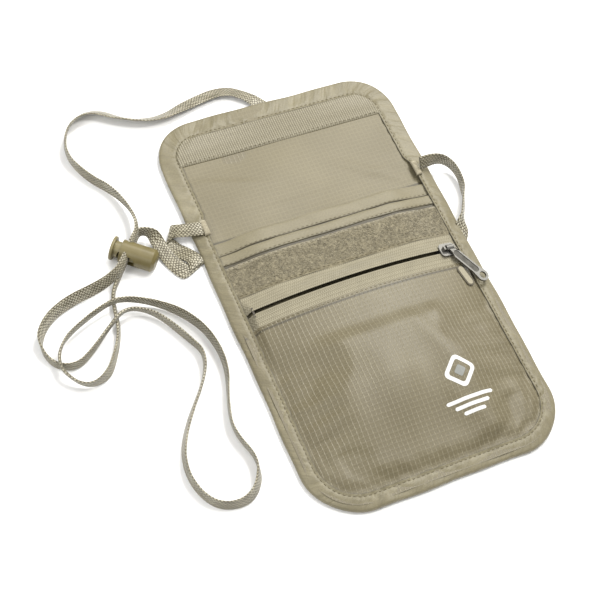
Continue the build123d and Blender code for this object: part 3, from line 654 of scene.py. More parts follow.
CORD_ROUTE = [
    (-0.0638, 0.0520, 0.0069), (-0.0725, 0.0532, 0.0071), (-0.0800, 0.0575, 0.0044), (-0.0835, 0.0510, 0.0020),
    (-0.0734, 0.0395, 0.0017), (-0.0728, 0.0332, 0.0017), (-0.0782, 0.0310, 0.0017), (-0.0832, 0.0366, 0.0017),
    (-0.0864, 0.0470, 0.0022), (-0.0886, 0.0575, 0.0038), (-0.0956, 0.0617, 0.0047),
    lock_point(0.0088, -0.0067, -0.0017), lock_point(0.0088, 0.0067, -0.0017),
    (-0.1140, 0.0396, 0.0036), (-0.1200, 0.0325, 0.0017), (-0.1223, 0.0220, 0.0017), (-0.1238, 0.0110, 0.0017),
    (-0.1305, -0.0020, 0.0017), (-0.1380, -0.0120, 0.0017), (-0.1495, -0.0140, 0.0022),
    (-0.1580, -0.0035, 0.0054), (-0.1570, 0.0070, 0.0054), (-0.1490, 0.0165, 0.0026), (-0.1270, 0.0255, 0.0054),
    (-0.1170, 0.0260, 0.0054), (-0.1030, 0.0205, 0.0022), (-0.0910, 0.0095, 0.0017), (-0.0825, -0.0050, 0.0017),
    (-0.0805, -0.0250, 0.0017), (-0.0880, -0.0450, 0.0017), (-0.0915, -0.0600, 0.0017),
    (-0.0845, -0.0800, 0.0017), (-0.0950, -0.0960, 0.0017), (-0.1130, -0.0940, 0.0017),
    (-0.1210, -0.0750, 0.0017), (-0.1155, -0.0540, 0.0017), (-0.0865, -0.0200, 0.0017),
    (-0.0945, -0.0020, 0.0017), (-0.1040, 0.0145, 0.0022), (-0.1170, 0.0210, 0.0054), (-0.1280, 0.0135, 0.0054),
    (-0.1400, 0.0045, 0.0022), (-0.1505, -0.0015, 0.0017), (-0.1610, 0.0035, 0.0017), (-0.1640, 0.0170, 0.0017),
    (-0.1560, 0.0280, 0.0017), (-0.1420, 0.0345, 0.0017), (-0.1260, 0.0365, 0.0030), (-0.1145, 0.0395, 0.0075),
    lock_point(0.0088, 0.0067, 0.0017), lock_point(0.0088, -0.0067, 0.0017),
    (-0.0960, 0.0613, 0.0083), (-0.0945, 0.0740, 0.0044), (-0.0990, 0.0900, 0.0017), (-0.1090, 0.1020, 0.0017),
    (-0.1160, 0.1200, 0.0017), (-0.1090, 0.1380, 0.0017), (-0.0930, 0.1450, 0.0017), (-0.0770, 0.1315, 0.0017),
    (-0.0590, 0.1270, 0.0017), (-0.0400, 0.1330, 0.0017), (-0.0180, 0.1365, 0.0017), (-0.0060, 0.1270, 0.0017),
    (-0.0028, 0.1224, 0.0017), (0.0130, 0.0997, 0.00075), (0.0290, 0.0700, 0.00075), (0.0430, 0.0400, 0.00075),
    (0.0470, 0.0180, 0.00075), (0.0530, 0.0030, 0.00075), (0.0660, 0.0010, 0.00075), (0.0724, 0.0130, 0.0017),
    (0.0805, 0.0265, 0.0017), (0.0840, 0.0385, 0.0019), (0.0815, 0.0480, 0.0044), (0.0730, 0.0520, 0.0071),
    (0.0638, 0.0510, 0.0069),
]
CORD_WIDTH = 8.0
TUBE_HALF = 1.7
CORD_STEP = 0.55
CORD_SIDES = 36
# How wide the braid shows from where the camera stands: (route point, width in millimetres).
CORD_SHOWN = [
    (9, 5.5), (10, 5.0), (13, 3.0), (14, 2.0), (15, 2.0), (16, 2.6), (17, 2.8), (18, 4.6), (19, 3.6),
    (20, 2.6), (21, 2.9), (22, 2.4), (23, 3.6), (24, 3.9), (25, 4.8), (26, 5.6), (27, 5.6), (28, 3.9),
    (29, 2.2), (30, 2.9), (30.6, 4.2), (31.2, 2.5), (32, 6.0), (33, 5.8), (34, 4.6), (35, 3.5), (35.6, 2.1),
    (36, 3.2), (37, 4.8), (38, 4.2), (39, 2.5), (40, 2.3), (41, 3.2), (42, 4.8), (43, 4.5), (44, 3.0),
    (45, 5.2), (46, 6.7), (47, 6.4), (48, 5.4), (50, 4.0), (51, 2.4), (52, 2.8), (53, 5.0), (54, 5.7),
    (55, 3.5), (56, 2.6), (57, 3.5), (57.5, 4.0), (58, 1.9), (59, 4.7), (60, 7.2), (61, 6.0), (62, 6.4),
    (63, 7.5), (64, 8.0), (69, 8.0), (70, 3.6), (71, 3.0), (72, 3.4), (73, 4.8), (74, 6.6), (75, 7.6),
]
# Where it bunches up, in the lock and where it crosses itself: (route point, width, thickness).
CORD_BUNCH = [
    (0, 8.0, 1.3), (4, 8.0, 1.3), (5, 9.8, 1.3), (6, 9.8, 1.3), (7, 8.6, 1.3), (8, 8.0, 1.3),
    (9.3, 7.0, 1.4), (10.3, 5.4, 2.0), (11, 5.2, 2.3), (12, 4.6, 2.3), (13, 3.8, 2.2), (14, 3.4, 2.0),
    (16, 3.6, 1.8), (17.2, 6.0, 1.4), (18, 8.0, 1.3), (19, 7.5, 1.3), (20.3, 4.6, 1.6), (21, 4.8, 1.6),
    (22, 6.5, 1.3), (23, 4.4, 1.7), (24, 4.8, 1.7), (25, 6.5, 1.4), (26, 8.0, 1.3), (38, 7.0, 1.4),
    (39, 4.0, 1.6), (40, 3.8, 1.6), (41, 4.4, 1.5), (42, 5.2, 1.5), (43, 5.2, 1.5), (44, 7.0, 1.3),
    (45, 8.0, 1.3), (47, 7.6, 1.4), (48, 6.2, 1.9), (49, 5.2, 2.3), (50, 5.0, 2.3), (51, 4.6, 2.0),
    (52, 6.5, 1.4), (53, 8.0, 1.3), (75, 8.0, 1.3),
]
# Where it lies flat, hidden between the pouch and the table.
CORD_FLAT = (62.6, 69.7)
# Where it is folded flat over itself: (first and last route point, lift of the run before it and after it).
CORD_FOLDS = [(1.75, 3.2, 0.0, 0.0), (4.5, 6.4, 1.3, 0.0)]


def spline_points(name, route):
    """Points along the smooth curve that has the route's points as its control points, in millimetres."""
    data = bpy.data.curves.new(name, "CURVE")
    data.dimensions = "3D"
    data.resolution_u = 24
    spline = data.splines.new("NURBS")
    spline.points.add(len(route) - 1)
    for point, place in zip(spline.points, route):
        point.co = (*place, 1)
    spline.order_u = 3
    spline.use_endpoint_u = True
    curve = bpy.data.objects.new(name, data)
    bpy.context.collection.objects.link(curve)
    bpy.context.view_layer.update()
    line = bpy.data.meshes.new_from_object(curve.evaluated_get(bpy.context.evaluated_depsgraph_get()))
    points = np.array([vertex.co for vertex in line.vertices]) / MM
    bpy.data.objects.remove(curve)
    bpy.data.meshes.remove(line)
    return points


def evenly(points, step):
    """The same line with points an equal step apart, and the distance along it of each."""
    reach = np.concatenate([[0], np.cumsum(np.linalg.norm(np.diff(points, axis=0), axis=1))])
    stops = np.linspace(0, reach[-1], int(reach[-1] / step) + 1)
    return np.stack([np.interp(stops, reach, points[:, axis]) for axis in range(3)], 1), stops


def softened(values, width):
    """Values averaged over a window, with their ends kept."""
    kernel = np.hanning(width + 2)[1:-1]
    kernel = kernel / kernel.sum()
    before, after = np.repeat(values[:1], width // 2, 0), np.repeat(values[-1:], width // 2, 0)
    padded = np.concatenate([before, values, after])
    return np.convolve(padded, kernel, "valid")[:len(values)]


def find_roll(tangent, side, up, shown, width, thick, bend, flat, step):
    """The braid's roll about its line: as wide as it shows, turning slowly, on edge where the line bends."""
    pitch = math.radians(4)
    angles = np.arange(0, math.pi, pitch)
    toward = np.array(CAMERA_BACK)
    face = np.abs(np.outer(up @ toward, np.cos(angles)) - np.outer(side @ toward, np.sin(angles)))
    rim = np.abs(np.outer(side @ toward, np.cos(angles)) + np.outer(up @ toward, np.sin(angles)))
    along = np.linalg.norm(np.cross(tangent, toward), axis=1)
    seen = (face * width[:, None] + rim * thick[:, None]) / along[:, None]
    cost = (seen - shown[:, None]) ** 2 + 40 * (bend[:, None] * np.cos(angles)) ** 2
    cost[flat] = 400 * np.sin(angles) ** 2
    best = cost[0].copy()
    choices = []
    moves = range(-2, 3)
    for row in cost[1:]:
        turned = [np.roll(best, move) + 0.02 * (math.degrees(move * pitch) / step) ** 2 for move in moves]
        options = np.stack(turned)
        pick = np.argmin(options, axis=0)
        choices.append(pick)
        best = options[pick, np.arange(len(angles))] + row
    state = int(np.argmin(best))
    roll = [0.0]
    for pick in reversed(choices):
        move = moves[pick[state]]
        roll.append(roll[-1] - move * pitch)
        state = (state - move) % len(angles)
    roll = np.array(roll[::-1])
    return roll - roll[0] + angles[state]


def route_stops(line, reach):
    """How far along the line the nearest place to each route point is."""
    stops = []
    nearest = 0
    for place in np.array(CORD_ROUTE) / MM:
        window = line[nearest:nearest + int(75 / CORD_STEP)]
        nearest += int(np.argmin(np.linalg.norm(window - place, axis=1)))
        stops.append(reach[nearest])
    stops[-1] = reach[-1]
    return stops


def turn_over(tangent, broad, flat, spans):
    """Turns the cross-sections over within each fold, so that the braid lies flat on itself."""
    for first, last in spans:
        share = np.linspace(0, 1, last - first + 1)
        begin, finish = (math.atan2(broad[index][1], broad[index][0]) for index in (first, last))
        swing = (finish - begin + math.pi) % (2 * math.pi) - math.pi
        heading = begin + share * swing
        crease = np.stack([np.cos(heading), np.sin(heading), 0 * heading], 1)
        outward = tangent[first] - tangent[last]
        over = math.copysign(1, flat[first][2])
        half_turn = math.pi * smooth((share - 0.3) / 0.4)
        level = np.cross(crease, [0, 0, 1.0])
        level = level * math.copysign(1, float(level[0] @ outward))
        broad[first:last + 1] = crease
        standing = level * np.sin(half_turn)[:, None]
        flat[first:last + 1] = standing + over * np.outer(np.cos(half_turn), [0, 0, 1])


def braid_mesh(reach, centre, broad, flat, width, thick):
    """A flat, slightly cupped cross-section carried along the cord's line, with its yarns in low relief."""
    turn = np.linspace(0, 2 * math.pi, CORD_SIDES, endpoint=False)
    across = np.sign(np.cos(turn)) * np.abs(np.cos(turn)) ** 0.75
    rise = np.sign(np.sin(turn)) * np.abs(np.sin(turn)) ** 0.75
    cup = 0.10 * (across**2 - 0.4)
    v = (across * CORD_WIDTH / 2)[None, :] + np.where(rise < 0, 40.0, 0.0)[None, :]
    slant = np.abs((v / BRAID_COLUMN + 1) % 2 - 1) * BRAID_COLUMN
    relief = 0.05 * np.sin((reach[:, None] + 0.8 * slant) * 2 * math.pi / BRAID_PITCH)
    broad_place = across[None, :] * (width / 2)[:, None]
    flat_place = (rise[None, :] + cup[None, :] * 2) * (thick / 2)[:, None] + relief * np.sign(rise)[None, :]
    sideways = broad[:, None, :] * broad_place[..., None]
    raised = flat[:, None, :] * flat_place[..., None]
    rings = centre[:, None, :] + sideways + raised
    rings[..., 2] = np.maximum(rings[..., 2], 0.03)
    faces, uvs = [], []
    for ring in range(len(reach) - 1):
        near, far = reach[ring], reach[ring + 1]
        for index in range(CORD_SIDES):
            following = (index + 1) % CORD_SIDES
            a, b = ring * CORD_SIDES + index, ring * CORD_SIDES + following
            faces.append((a, b, b + CORD_SIDES, a + CORD_SIDES))
            first, second = v[0, index], v[0, following]
            if abs(second - first) > 20:
                second = first
            uvs += [(near, first), (near, second), (far, second), (far, first)]
    for ring, order in ((0, reversed(range(CORD_SIDES))), (len(reach) - 1, range(CORD_SIDES))):
        cap = [ring * CORD_SIDES + index for index in order]
        faces.append(tuple(cap))
        uvs += [(reach[ring], v[0, index - ring * CORD_SIDES]) for index in cap]
    return make_mesh("neck_cord", rings.reshape(-1, 3), faces, uvs, braid)


def make_cord():
    """The flat braid from sewn end to sewn end, rolling on its edge in the bends as a tape does."""
    line, reach = evenly(spline_points("cord_route", CORD_ROUTE), CORD_STEP)
    stops = route_stops(line, reach)

    def reach_of(point):
        return np.interp(point, range(len(stops)), stops)

    def column(table, place):
        values = np.interp(reach, [reach_of(entry[0]) for entry in table], [entry[place] for entry in table])
        return softened(values, int(7 / CORD_STEP) | 1)

    shown, width, thick = column(CORD_SHOWN, 1), column(CORD_BUNCH, 1), column(CORD_BUNCH, 2)
    tangent = np.gradient(line, axis=0)
    tangent = np.stack([softened(tangent[:, axis], 7) for axis in range(3)], 1)
    tangent = tangent / np.linalg.norm(tangent, axis=1)[:, None]
    bend = softened(np.linalg.norm(np.gradient(tangent, axis=0), axis=1) / CORD_STEP, 9)
    side = np.cross([0, 0, 1.0], tangent)
    side = side / np.linalg.norm(side, axis=1)[:, None]
    up = np.cross(tangent, side)
    rolling = slice(int(np.searchsorted(reach, reach_of(9))), None)
    hidden = (reach > reach_of(CORD_FLAT[0])) & (reach < reach_of(CORD_FLAT[1]))
    roll = np.zeros(len(line))
    along = [values[rolling] for values in (tangent, side, up, shown, width, thick, bend, hidden)]
    roll[rolling] = find_roll(*along, CORD_STEP)
    roll[rolling] -= math.pi * round(roll[rolling.start] / math.pi)
    roll = softened(roll, int(11 / CORD_STEP) | 1)
    flips = np.zeros(len(line))
    lift = np.zeros(len(line))
    spans = []
    for start, end, before, after in CORD_FOLDS:
        first, last = (int(np.searchsorted(reach, reach_of(point))) for point in (start, end))
        spans.append((first, last))
        flips[last:] += math.pi
        share = (reach - reach[first]) / (reach[last] - reach[first])
        nearby = smooth(1 + share / 1.1) * smooth(1 - (share - 1) / 1.1)
        lift += nearby * np.where(share < 0.5, before, after)
    roll = roll + flips
    broad = side * np.cos(roll)[:, None] + up * np.sin(roll)[:, None]
    flat = np.cross(tangent, broad)
    turn_over(tangent, broad, flat, spans)
    half_height = np.abs(broad[:, 2]) * width / 2 + np.abs(flat[:, 2]) * thick / 2
    centre = line.copy()
    centre[:, 2] = softened(np.maximum(line[:, 2] - TUBE_HALF, 0.12) + half_height + softened(lift, 9), 9)
    cord = braid_mesh(reach, centre, broad, flat, width, thick)
    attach(cord, "pouch")
    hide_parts("cord_left", "cord_in_lock", "cord_tail_thin", "cord_tail_loop", "cord_tail_wide",
                "cord_top", "cord_under", "cord_right")
    path = line[::4]
    path = np.concatenate([path, line[-1:]]) if (len(line) - 1) % 4 else path
    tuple(CORD_ROUTE[0])
    [tuple(point) for point in path * MM]


# ---------------------------------------------------------------- heights of the cloth layers
def drop(x):
    """How far the zip's arc has fallen below its crown at x."""
    return ZIP_RADIUS - np.sqrt(ZIP_RADIUS**2 - x**2)


def fill(x, y):
    """1 over the pockets' contents, falling to 0 at the side seams and towards the bottom seam."""
    return (1 - smooth((np.abs(x) - 36) / (MOUTH_HALF - 35))) * smooth((y + 108) / 46)


def lining_height(x, y):
    onto_flap = smooth((y - FOLD_Y + 9) / 18)
    base = 2.35 + (FLAP_UNDER + 1.25 - 2.35) * onto_flap
    creases = 0.42 * ripple(x, y, 34, 3) * smooth((y + 60) / 30)
    creases = creases + 0.5 * np.exp(-((x * 0.55 + (y - 70) * 0.83 - 12) / 2.6) ** 2) * smooth((x - 8) / 26)
    creases = creases + 0.45 * np.exp(-((x * 0.3 + (y - 78) * 0.95 + 14) / 2.2) ** 2) * smooth((-x - 6) / 26)
    inside = smooth((half_width(y, FLAP_BORDER) - np.abs(x)) / 6)
    return base + creases * inside + 0.25 * np.exp(-((y - FOLD_Y) / 2.2) ** 2)


def card_height(x, y):
    return 2.85 + (CARD_CROWN - 2.85) * fill(x, y) + 0.16 * ripple(x, y, 16, 5)


def note_height(x, y):
    return 3.4 + (NOTE_CROWN - 3.4) * fill(x, y) + 0.12 * ripple(x, y, 16, 6)


def zip_height(x):
    """The height of the coils' middle line, which goes down under the border at both ends."""
    inside = ZIP_CROWN - drop(np.minimum(np.abs(x), COIL_HALF))
    return inside - (inside - 2.9) * smooth((np.abs(x) - COIL_HALF - 0.4) / 4.2)


def front_height(x, y):
    arched = zip_height(x) + 0.72
    domed = 3.6 + (FRONT_CROWN - 3.6) * (1 - np.clip(np.abs(x) / (MOUTH_HALF + 0.5), 0, 1) ** 2.7)
    share = smooth((-18 - y) / 26)
    return 3.6 + (arched * (1 - share) + domed * share - 3.6) * smooth((y + 111) / 50)


# ---------------------------------------------------------------- body and flap cloth
def make_outer_cloth():
    """The back of ripstop, in one piece from the bottom seam over the fold to the flap's edge."""
    x, y = grid(BOTTOM_Y + 2.4, TOP_Y - 2.4, 2.4, 2.6, 45)
    onto_flap = smooth((y - FOLD_Y + 6) / 12)
    z = 1.75 + (FLAP_UNDER + 0.75 - 1.75) * onto_flap + 0.1 * ripple(x, y, 24, 1)
    cloth = surface("outer_cloth", x, y, z, 0.25, ripstop)
    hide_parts("back_panel", "flap_outer")
    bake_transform(cloth)


def make_inner_lining():
    """The lining behind the pockets and inside the flap, softly creased, in one piece over the fold."""
    x, y = grid(BOTTOM_Y + 2.4, TOP_Y - 2.4, 2.4, 1.6, 80)
    z = lining_height(x, y)
    cloth = surface("inner_lining", x, y, z, 0.22, lining)
    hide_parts("back_lining", "flap_lining")
    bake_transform(cloth)
    return cloth


def outline_station():
    """Places round the outline and their inward normals, counter-clockwise from the fold's right end."""
    places, normals = [], []

    def straight(start, end, inward):
        for share in np.linspace(0, 1, max(2, int(math.dist(start, end) / 0.9)), endpoint=False):
            places.append((start[0] + (end[0] - start[0]) * share, start[1] + (end[1] - start[1]) * share))
            normals.append(inward)

    def corner(centre, radius, start):
        for share in np.linspace(0, 1, int(radius * 1.75), endpoint=False):
            turn = start + share * math.pi / 2
            places.append((centre[0] + radius * math.cos(turn), centre[1] + radius * math.sin(turn)))
            normals.append((-math.cos(turn), -math.sin(turn)))

    top, low, flap_r, body_r = TOP_Y, BOTTOM_Y, FLAP_RADIUS, BOTTOM_RADIUS
    straight((HALF, low + body_r), (HALF, top - flap_r), (-1, 0))
    corner((HALF - flap_r, top - flap_r), flap_r, 0)
    straight((HALF - flap_r, top), (-HALF + flap_r, top), (0, -1))
    corner((-HALF + flap_r, top - flap_r), flap_r, math.pi / 2)
    straight((-HALF, top - flap_r), (-HALF, low + body_r), (1, 0))
    corner((-HALF + body_r, low + body_r), body_r, math.pi)
    straight((-HALF + body_r, low), (HALF - body_r, low), (0, 1))
    corner((HALF - body_r, low + body_r), body_r, 1.5 * math.pi)
    return np.array(places), np.array(normals)


def border_width(y):
    return BODY_BORDER + (FLAP_BORDER - BODY_BORDER) * smooth((y - FOLD_Y + 4) / 8)


STITCH_INSET = 1.5


def make_binding():
    """The tape folded round the whole edge, with a stitch ditch and puckers along it."""
    places, normals = outline_station()
    reach = np.concatenate([[0], np.cumsum(np.hypot(*np.diff(places, axis=0).T))])
    total = reach[-1] + math.dist(places[-1], places[0])
    y = places[:, 1]
    onto_flap = smooth((y - FOLD_Y + 7) / 14)
    width = border_width(y)
    low = 0.12 + (FLAP_UNDER - 0.12) * onto_flap
    high = BORDER_TOP + (FLAP_TOP - BORDER_TOP) * onto_flap
    wander = 0.35 * np.sin(reach / total * 2 * math.pi * 9 + 0.6)
    wander = wander + 0.22 * np.sin(reach / total * 2 * math.pi * 23)
    pucker = np.sin(reach / total * 2 * math.pi * 84 + 2.2 * np.sin(reach / total * 2 * math.pi * 17))
    creases = 0.6 + 0.4 * np.sin(reach / total * 2 * math.pi * 7 + 2)
    shares = np.array([1.0, 1.0, 0.97, 0.9, 0.84, 0.78, 0.7, 0.58, 0.46, 0.34, 0.22, 0.13, 0.06, 0.015])
    rings = []
    for index, share in enumerate(shares):
        inward = share * width
        top = high - 0.35
        top = top - 1.75 * (1 - onto_flap) * (1 - share) ** 1.5 - 0.5 * onto_flap * (1 - share) ** 1.5
        round_off = np.clip(1 - inward / 0.9, 0, 1)
        height = top - (top - low) * 0.5 * (1 - np.sqrt(np.clip(1 - round_off**2, 0, 1)))
        ditch = 0.42 * np.exp(-((inward - width + STITCH_INSET) / 0.55) ** 2)
        leaning = np.roll(pucker, int(round(2.2 * (1 - share) * 3)))
        wave = 0.24 * leaning * creases * np.exp(-((inward - width + STITCH_INSET) / 3.2) ** 2)
        dents = 0.3 * ripple(places[:, 0] + inward, y + inward, 15, 12) * np.sin(math.pi * share) ** 0.5
        z = height - ditch + wave + 0.8 * dents
        if index == 0:
            z = z - 0.75
        rings.append((inward + wander * (1 - share) * 0.7 + (0.12 * pucker if index < 2 else 0), z))
    for share in (0.0, 0.015, 0.06, 0.16, 0.34, 0.6, 0.85, 1.0):
        inward = share * width
        middle = (high - 1.5 + low) / 2
        round_off = np.clip(1 - inward / 2.2, 0, 1)
        rings.append((inward + wander * (1 - share) * 0.7, low + (middle - low) * (1 - np.sqrt(1 - round_off**2))))
    rings.append((width * 1.0, low + 0.45))
    for share in (0.6, 0.25):
        rings.append((share * width + 0.4, low + 0.5 + 0.3 * (1 - share)))
    rings.append((0.9 + 0 * width, (high + low) / 2 - 0.4))
    for share in (0.3, 0.6, 0.9):
        rings.append((share * width + 0.3, high - 1.35 - 0.75 * (1 - share)))
    count, columns = len(rings), len(places)
    points = np.zeros((count, columns, 3))
    for index, (inward, z) in enumerate(rings):
        points[index, :, :2] = places + normals * np.asarray(inward)[:, None]
        points[index, :, 2] = np.maximum(z, 0.05)
    faces, uvs = [], []
    gap = [0.0]
    for before, after in zip(rings, rings[1:]):
        gap.append(gap[-1] + float(np.mean(np.hypot(after[0] - before[0], np.asarray(after[1]) - before[1]))))
    for ring in range(count):
        following = (ring + 1) % count
        for column in range(columns):
            beside = (column + 1) % columns
            faces.append((ring * columns + column, ring * columns + beside, following * columns + beside,
                          following * columns + column))
            near, far = reach[column], reach[column + 1] if column + 1 < columns else total
            level, other = gap[ring], gap[ring + 1] if ring + 1 < count else gap[ring] + 1
            uvs += [(near, level), (far, level), (far, other), (near, other)]
    tape = make_mesh("binding", points.reshape(-1, 3), faces, uvs, binding)
    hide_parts("body_border", "flap_border")
    line = places + normals * (width - STITCH_INSET)[:, None]
    line = np.concatenate([line, line[:1]])
    sewn = stitches("binding_stitches", [line], Ground(tape), pitch=2.6, length=1.9, sink=0.02)
    for piece in (tape, sewn):
        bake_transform(piece)


def pocket_panel(name, node, top_y, height, material, thickness=0.35):
    """A pocket's panel from its open top edge down into the bottom seam."""
    x, y = grid(BOTTOM_Y + 3, top_y, 3.2, 2.2, 61)
    cloth = surface(name, x, y, height(x, y), thickness, material)
    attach(cloth, "pouch")
    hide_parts(node)
    return cloth


def hem(name, node, low_y, top_y, height, seed):
    """A pocket's hem: the edge turned over twice, with a rolled lip and a soft crown between its seams."""
    rows = [(top_y - 0.9, -1.0), (top_y + 0.25, -0.75), (top_y + 0.5, -0.15)]
    rows += [(top_y + 0.25, 0.38), (top_y - 0.5, 0.58)]
    inner = np.linspace(top_y - 1.2, low_y + 0.5, 9)
    rows += [(y, 0.6 + 0.14 * math.sin((y - low_y) / (top_y - low_y) * math.pi)) for y in inner]
    rows += [(low_y + 0.15, 0.42), (low_y, 0.1)]
    across = np.linspace(-MOUTH_HALF - 1.4, MOUTH_HALF + 1.4, 150)
    x = np.repeat(across[None, :], len(rows), 0)
    y = np.repeat(np.array([row[0] for row in rows])[:, None], len(across), 1)
    y = y + 0.16 * np.sin(across / 6.1 + seed)[None, :] + 0.1 * np.sin(across / 2.6)[None, :]
    lift = np.array([row[1] for row in rows])[:, None]
    ditch = 0.2 * np.exp(-((y - low_y - 1.0) / 0.5) ** 2)
    z = height(x, np.minimum(y, top_y)) + lift - ditch + 0.1 * ripple(x, y, 7, seed)
    band = surface(name, x, y, z, 0.2, hem_tape)
    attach(band, "pouch")
    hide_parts(node)
    return band


def straight_line(y, half, seed=0):
    """A sewn line across the pouch, not quite straight."""
    x = np.linspace(-half, half, 60)
    return np.stack([x, y + 0.18 * np.sin(x / 9 + seed)], 1)


def make_pockets():
    """The card and note pockets, their hems and the loop strip."""
    card = pocket_panel("card_panel", "card_pocket", CARD_Y, card_height, panel_cloth)
    note = pocket_panel("note_panel", "note_pocket", NOTE_Y, note_height, panel_cloth)
    card_hem = hem("card_hem", "card_pocket_hem", CARD_HEM_Y, CARD_Y, card_height, 2)
    note_hem = hem("note_hem", "note_pocket_hem", NOTE_HEM_Y, NOTE_Y, note_height, 5)
    strip = make_loop_strip()
    for name, ground, lines in (
        ("card_stitches", Ground(card_hem, card), [straight_line(CARD_HEM_Y + 1.0, MOUTH_HALF - 0.5, 2)]),
        ("note_stitches", Ground(note_hem, note), [straight_line(NOTE_HEM_Y + 1.0, MOUTH_HALF - 0.5, 4)]),
        ("loop_stitches", Ground(strip), [straight_line(LOOP_HIGH_Y - 1.0, MOUTH_HALF - 1, 1),
                                          straight_line(LOOP_LOW_Y + 1.0, MOUTH_HALF - 1, 3)]),
    ):
        sewn = stitches(name, lines, ground)
        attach(sewn, "pouch")
    return note


def make_loop_strip():
    """The soft half of the fastening: a padded strip whose pile stands up in tiny loops."""
    across = np.linspace(-MOUTH_HALF - 0.9, MOUTH_HALF + 0.9, 240)
    up = np.linspace(LOOP_LOW_Y, LOOP_HIGH_Y, 46)
    x, y = np.meshgrid(across, up)
    edge = np.minimum(y - LOOP_LOW_Y, LOOP_HIGH_Y - y)
    thick = 0.35 + 0.65 * smooth(edge / 1.6)
    y = y + 0.15 * np.sin(x / 5) * (1 - smooth(edge / 2))
    z = note_height(x, y) + thick + 0.09 * rng.standard_normal(x.shape) + 0.12 * ripple(x, y, 6, 21)
    strip = surface("loop_strip_pile", x, y, z, 0.8, loops)
    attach(strip, "pouch")
    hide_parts("loop_strip")
    count = 5200
    root_x = rng.uniform(-MOUTH_HALF + 0.3, MOUTH_HALF - 0.3, count)
    root_y = rng.uniform(LOOP_LOW_Y + 1.6, LOOP_HIGH_Y - 1.6, count)
    turn = rng.uniform(0, 2 * math.pi, count)
    rise = rng.uniform(0.3, 0.65, count)
    reach = rng.uniform(0.35, 0.75, count)
    base = note_height(root_x, root_y) + 0.9
    steps = np.linspace(0, math.pi, 5)
    ring = np.zeros((count, 5, 2, 3))
    for index, angle in enumerate(steps):
        out = -np.cos(angle) * reach
        for side, sign in enumerate((-1, 1)):
            ring[:, index, side, 0] = root_x + out * np.cos(turn) - sign * 0.07 * np.sin(turn)
            ring[:, index, side, 1] = root_y + out * np.sin(turn) + sign * 0.07 * np.cos(turn)
            ring[:, index, side, 2] = base + np.sin(angle) * rise
    points = ring.reshape(-1, 3)
    faces = []
    for loop in range(count):
        for index in range(4):
            a = loop * 10 + index * 2
            faces.append((a, a + 1, a + 3, a + 2))
    uvs = points[np.array([index for face in faces for index in face]), :2]
    pile = make_mesh("loop_fibres", points, faces, uvs, loops)
    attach(pile, "pouch")
    return strip


# ---------------------------------------------------------------- the zip pocket
def settle(piece, held, frames, pressure, extra, cap):
    """Lets a cloth piece swell and crease between its held edges, then keeps that shape."""
    group = piece.vertex_groups.new(name="held")
    for index, weight in enumerate(held):
        if weight > 0:
            group.add([index], float(weight), "REPLACE")
    modifier = piece.modifiers.new("settle", "CLOTH")
    cloth = modifier.settings
    cloth.quality = 6
    cloth.mass = 0.15
    cloth.tension_stiffness = 12
    cloth.compression_stiffness = 12
    cloth.shear_stiffness = 4
    cloth.bending_stiffness = 0.25
    cloth.vertex_group_mass = "held"
    cloth.use_pressure = True
    cloth.uniform_pressure_force = pressure
    cloth.shrink_min = -extra
    cloth.effector_weights.gravity = 0
    modifier.collision_settings.use_collision = False
    modifier.point_cache.frame_start = 1
    modifier.point_cache.frame_end = frames
    scene = bpy.context.scene
    for number in range(1, frames + 1):
        scene.frame_set(number)
    solved = piece.evaluated_get(bpy.context.evaluated_depsgraph_get()).to_mesh()
    new = np.array([vertex.co for vertex in solved.vertices])
    old = np.array([vertex.co for vertex in piece.data.vertices])
    piece.evaluated_get(bpy.context.evaluated_depsgraph_get()).to_mesh_clear()
    piece.modifiers.remove(modifier)
    piece.vertex_groups.remove(group)
    scene.frame_set(1)
    moved = new - old
    far = np.linalg.norm(moved, axis=1)[:, None]
    return (old + moved * np.minimum(1, cap * MM / np.maximum(far, 1e-9))) / MM


def open_grid(name, x, y, z):
    """A single-faced grid for the cloth solver."""
    rows, columns = x.shape
    points = np.stack([x, y, z], -1).reshape(-1, 3) * MM
    faces = [(row * columns + column, row * columns + column + 1, (row + 1) * columns + column + 1,
              (row + 1) * columns + column) for row in range(rows - 1) for column in range(columns - 1)]
    mesh = bpy.data.meshes.new(name)
    mesh.from_pydata(points.tolist(), [], faces)
    made = bpy.data.objects.new(name, mesh)
    bpy.context.collection.objects.link(made)
    return made


# The front cloth's folds stay at least this far above the note panel, so that the panel never shows through.
PANEL_GAP = 0.75
# The pull sweeps over the cloth above this height, so the cloth has no folds there.
PULL_LOW_Y = corners("pull_tab")[0][1]


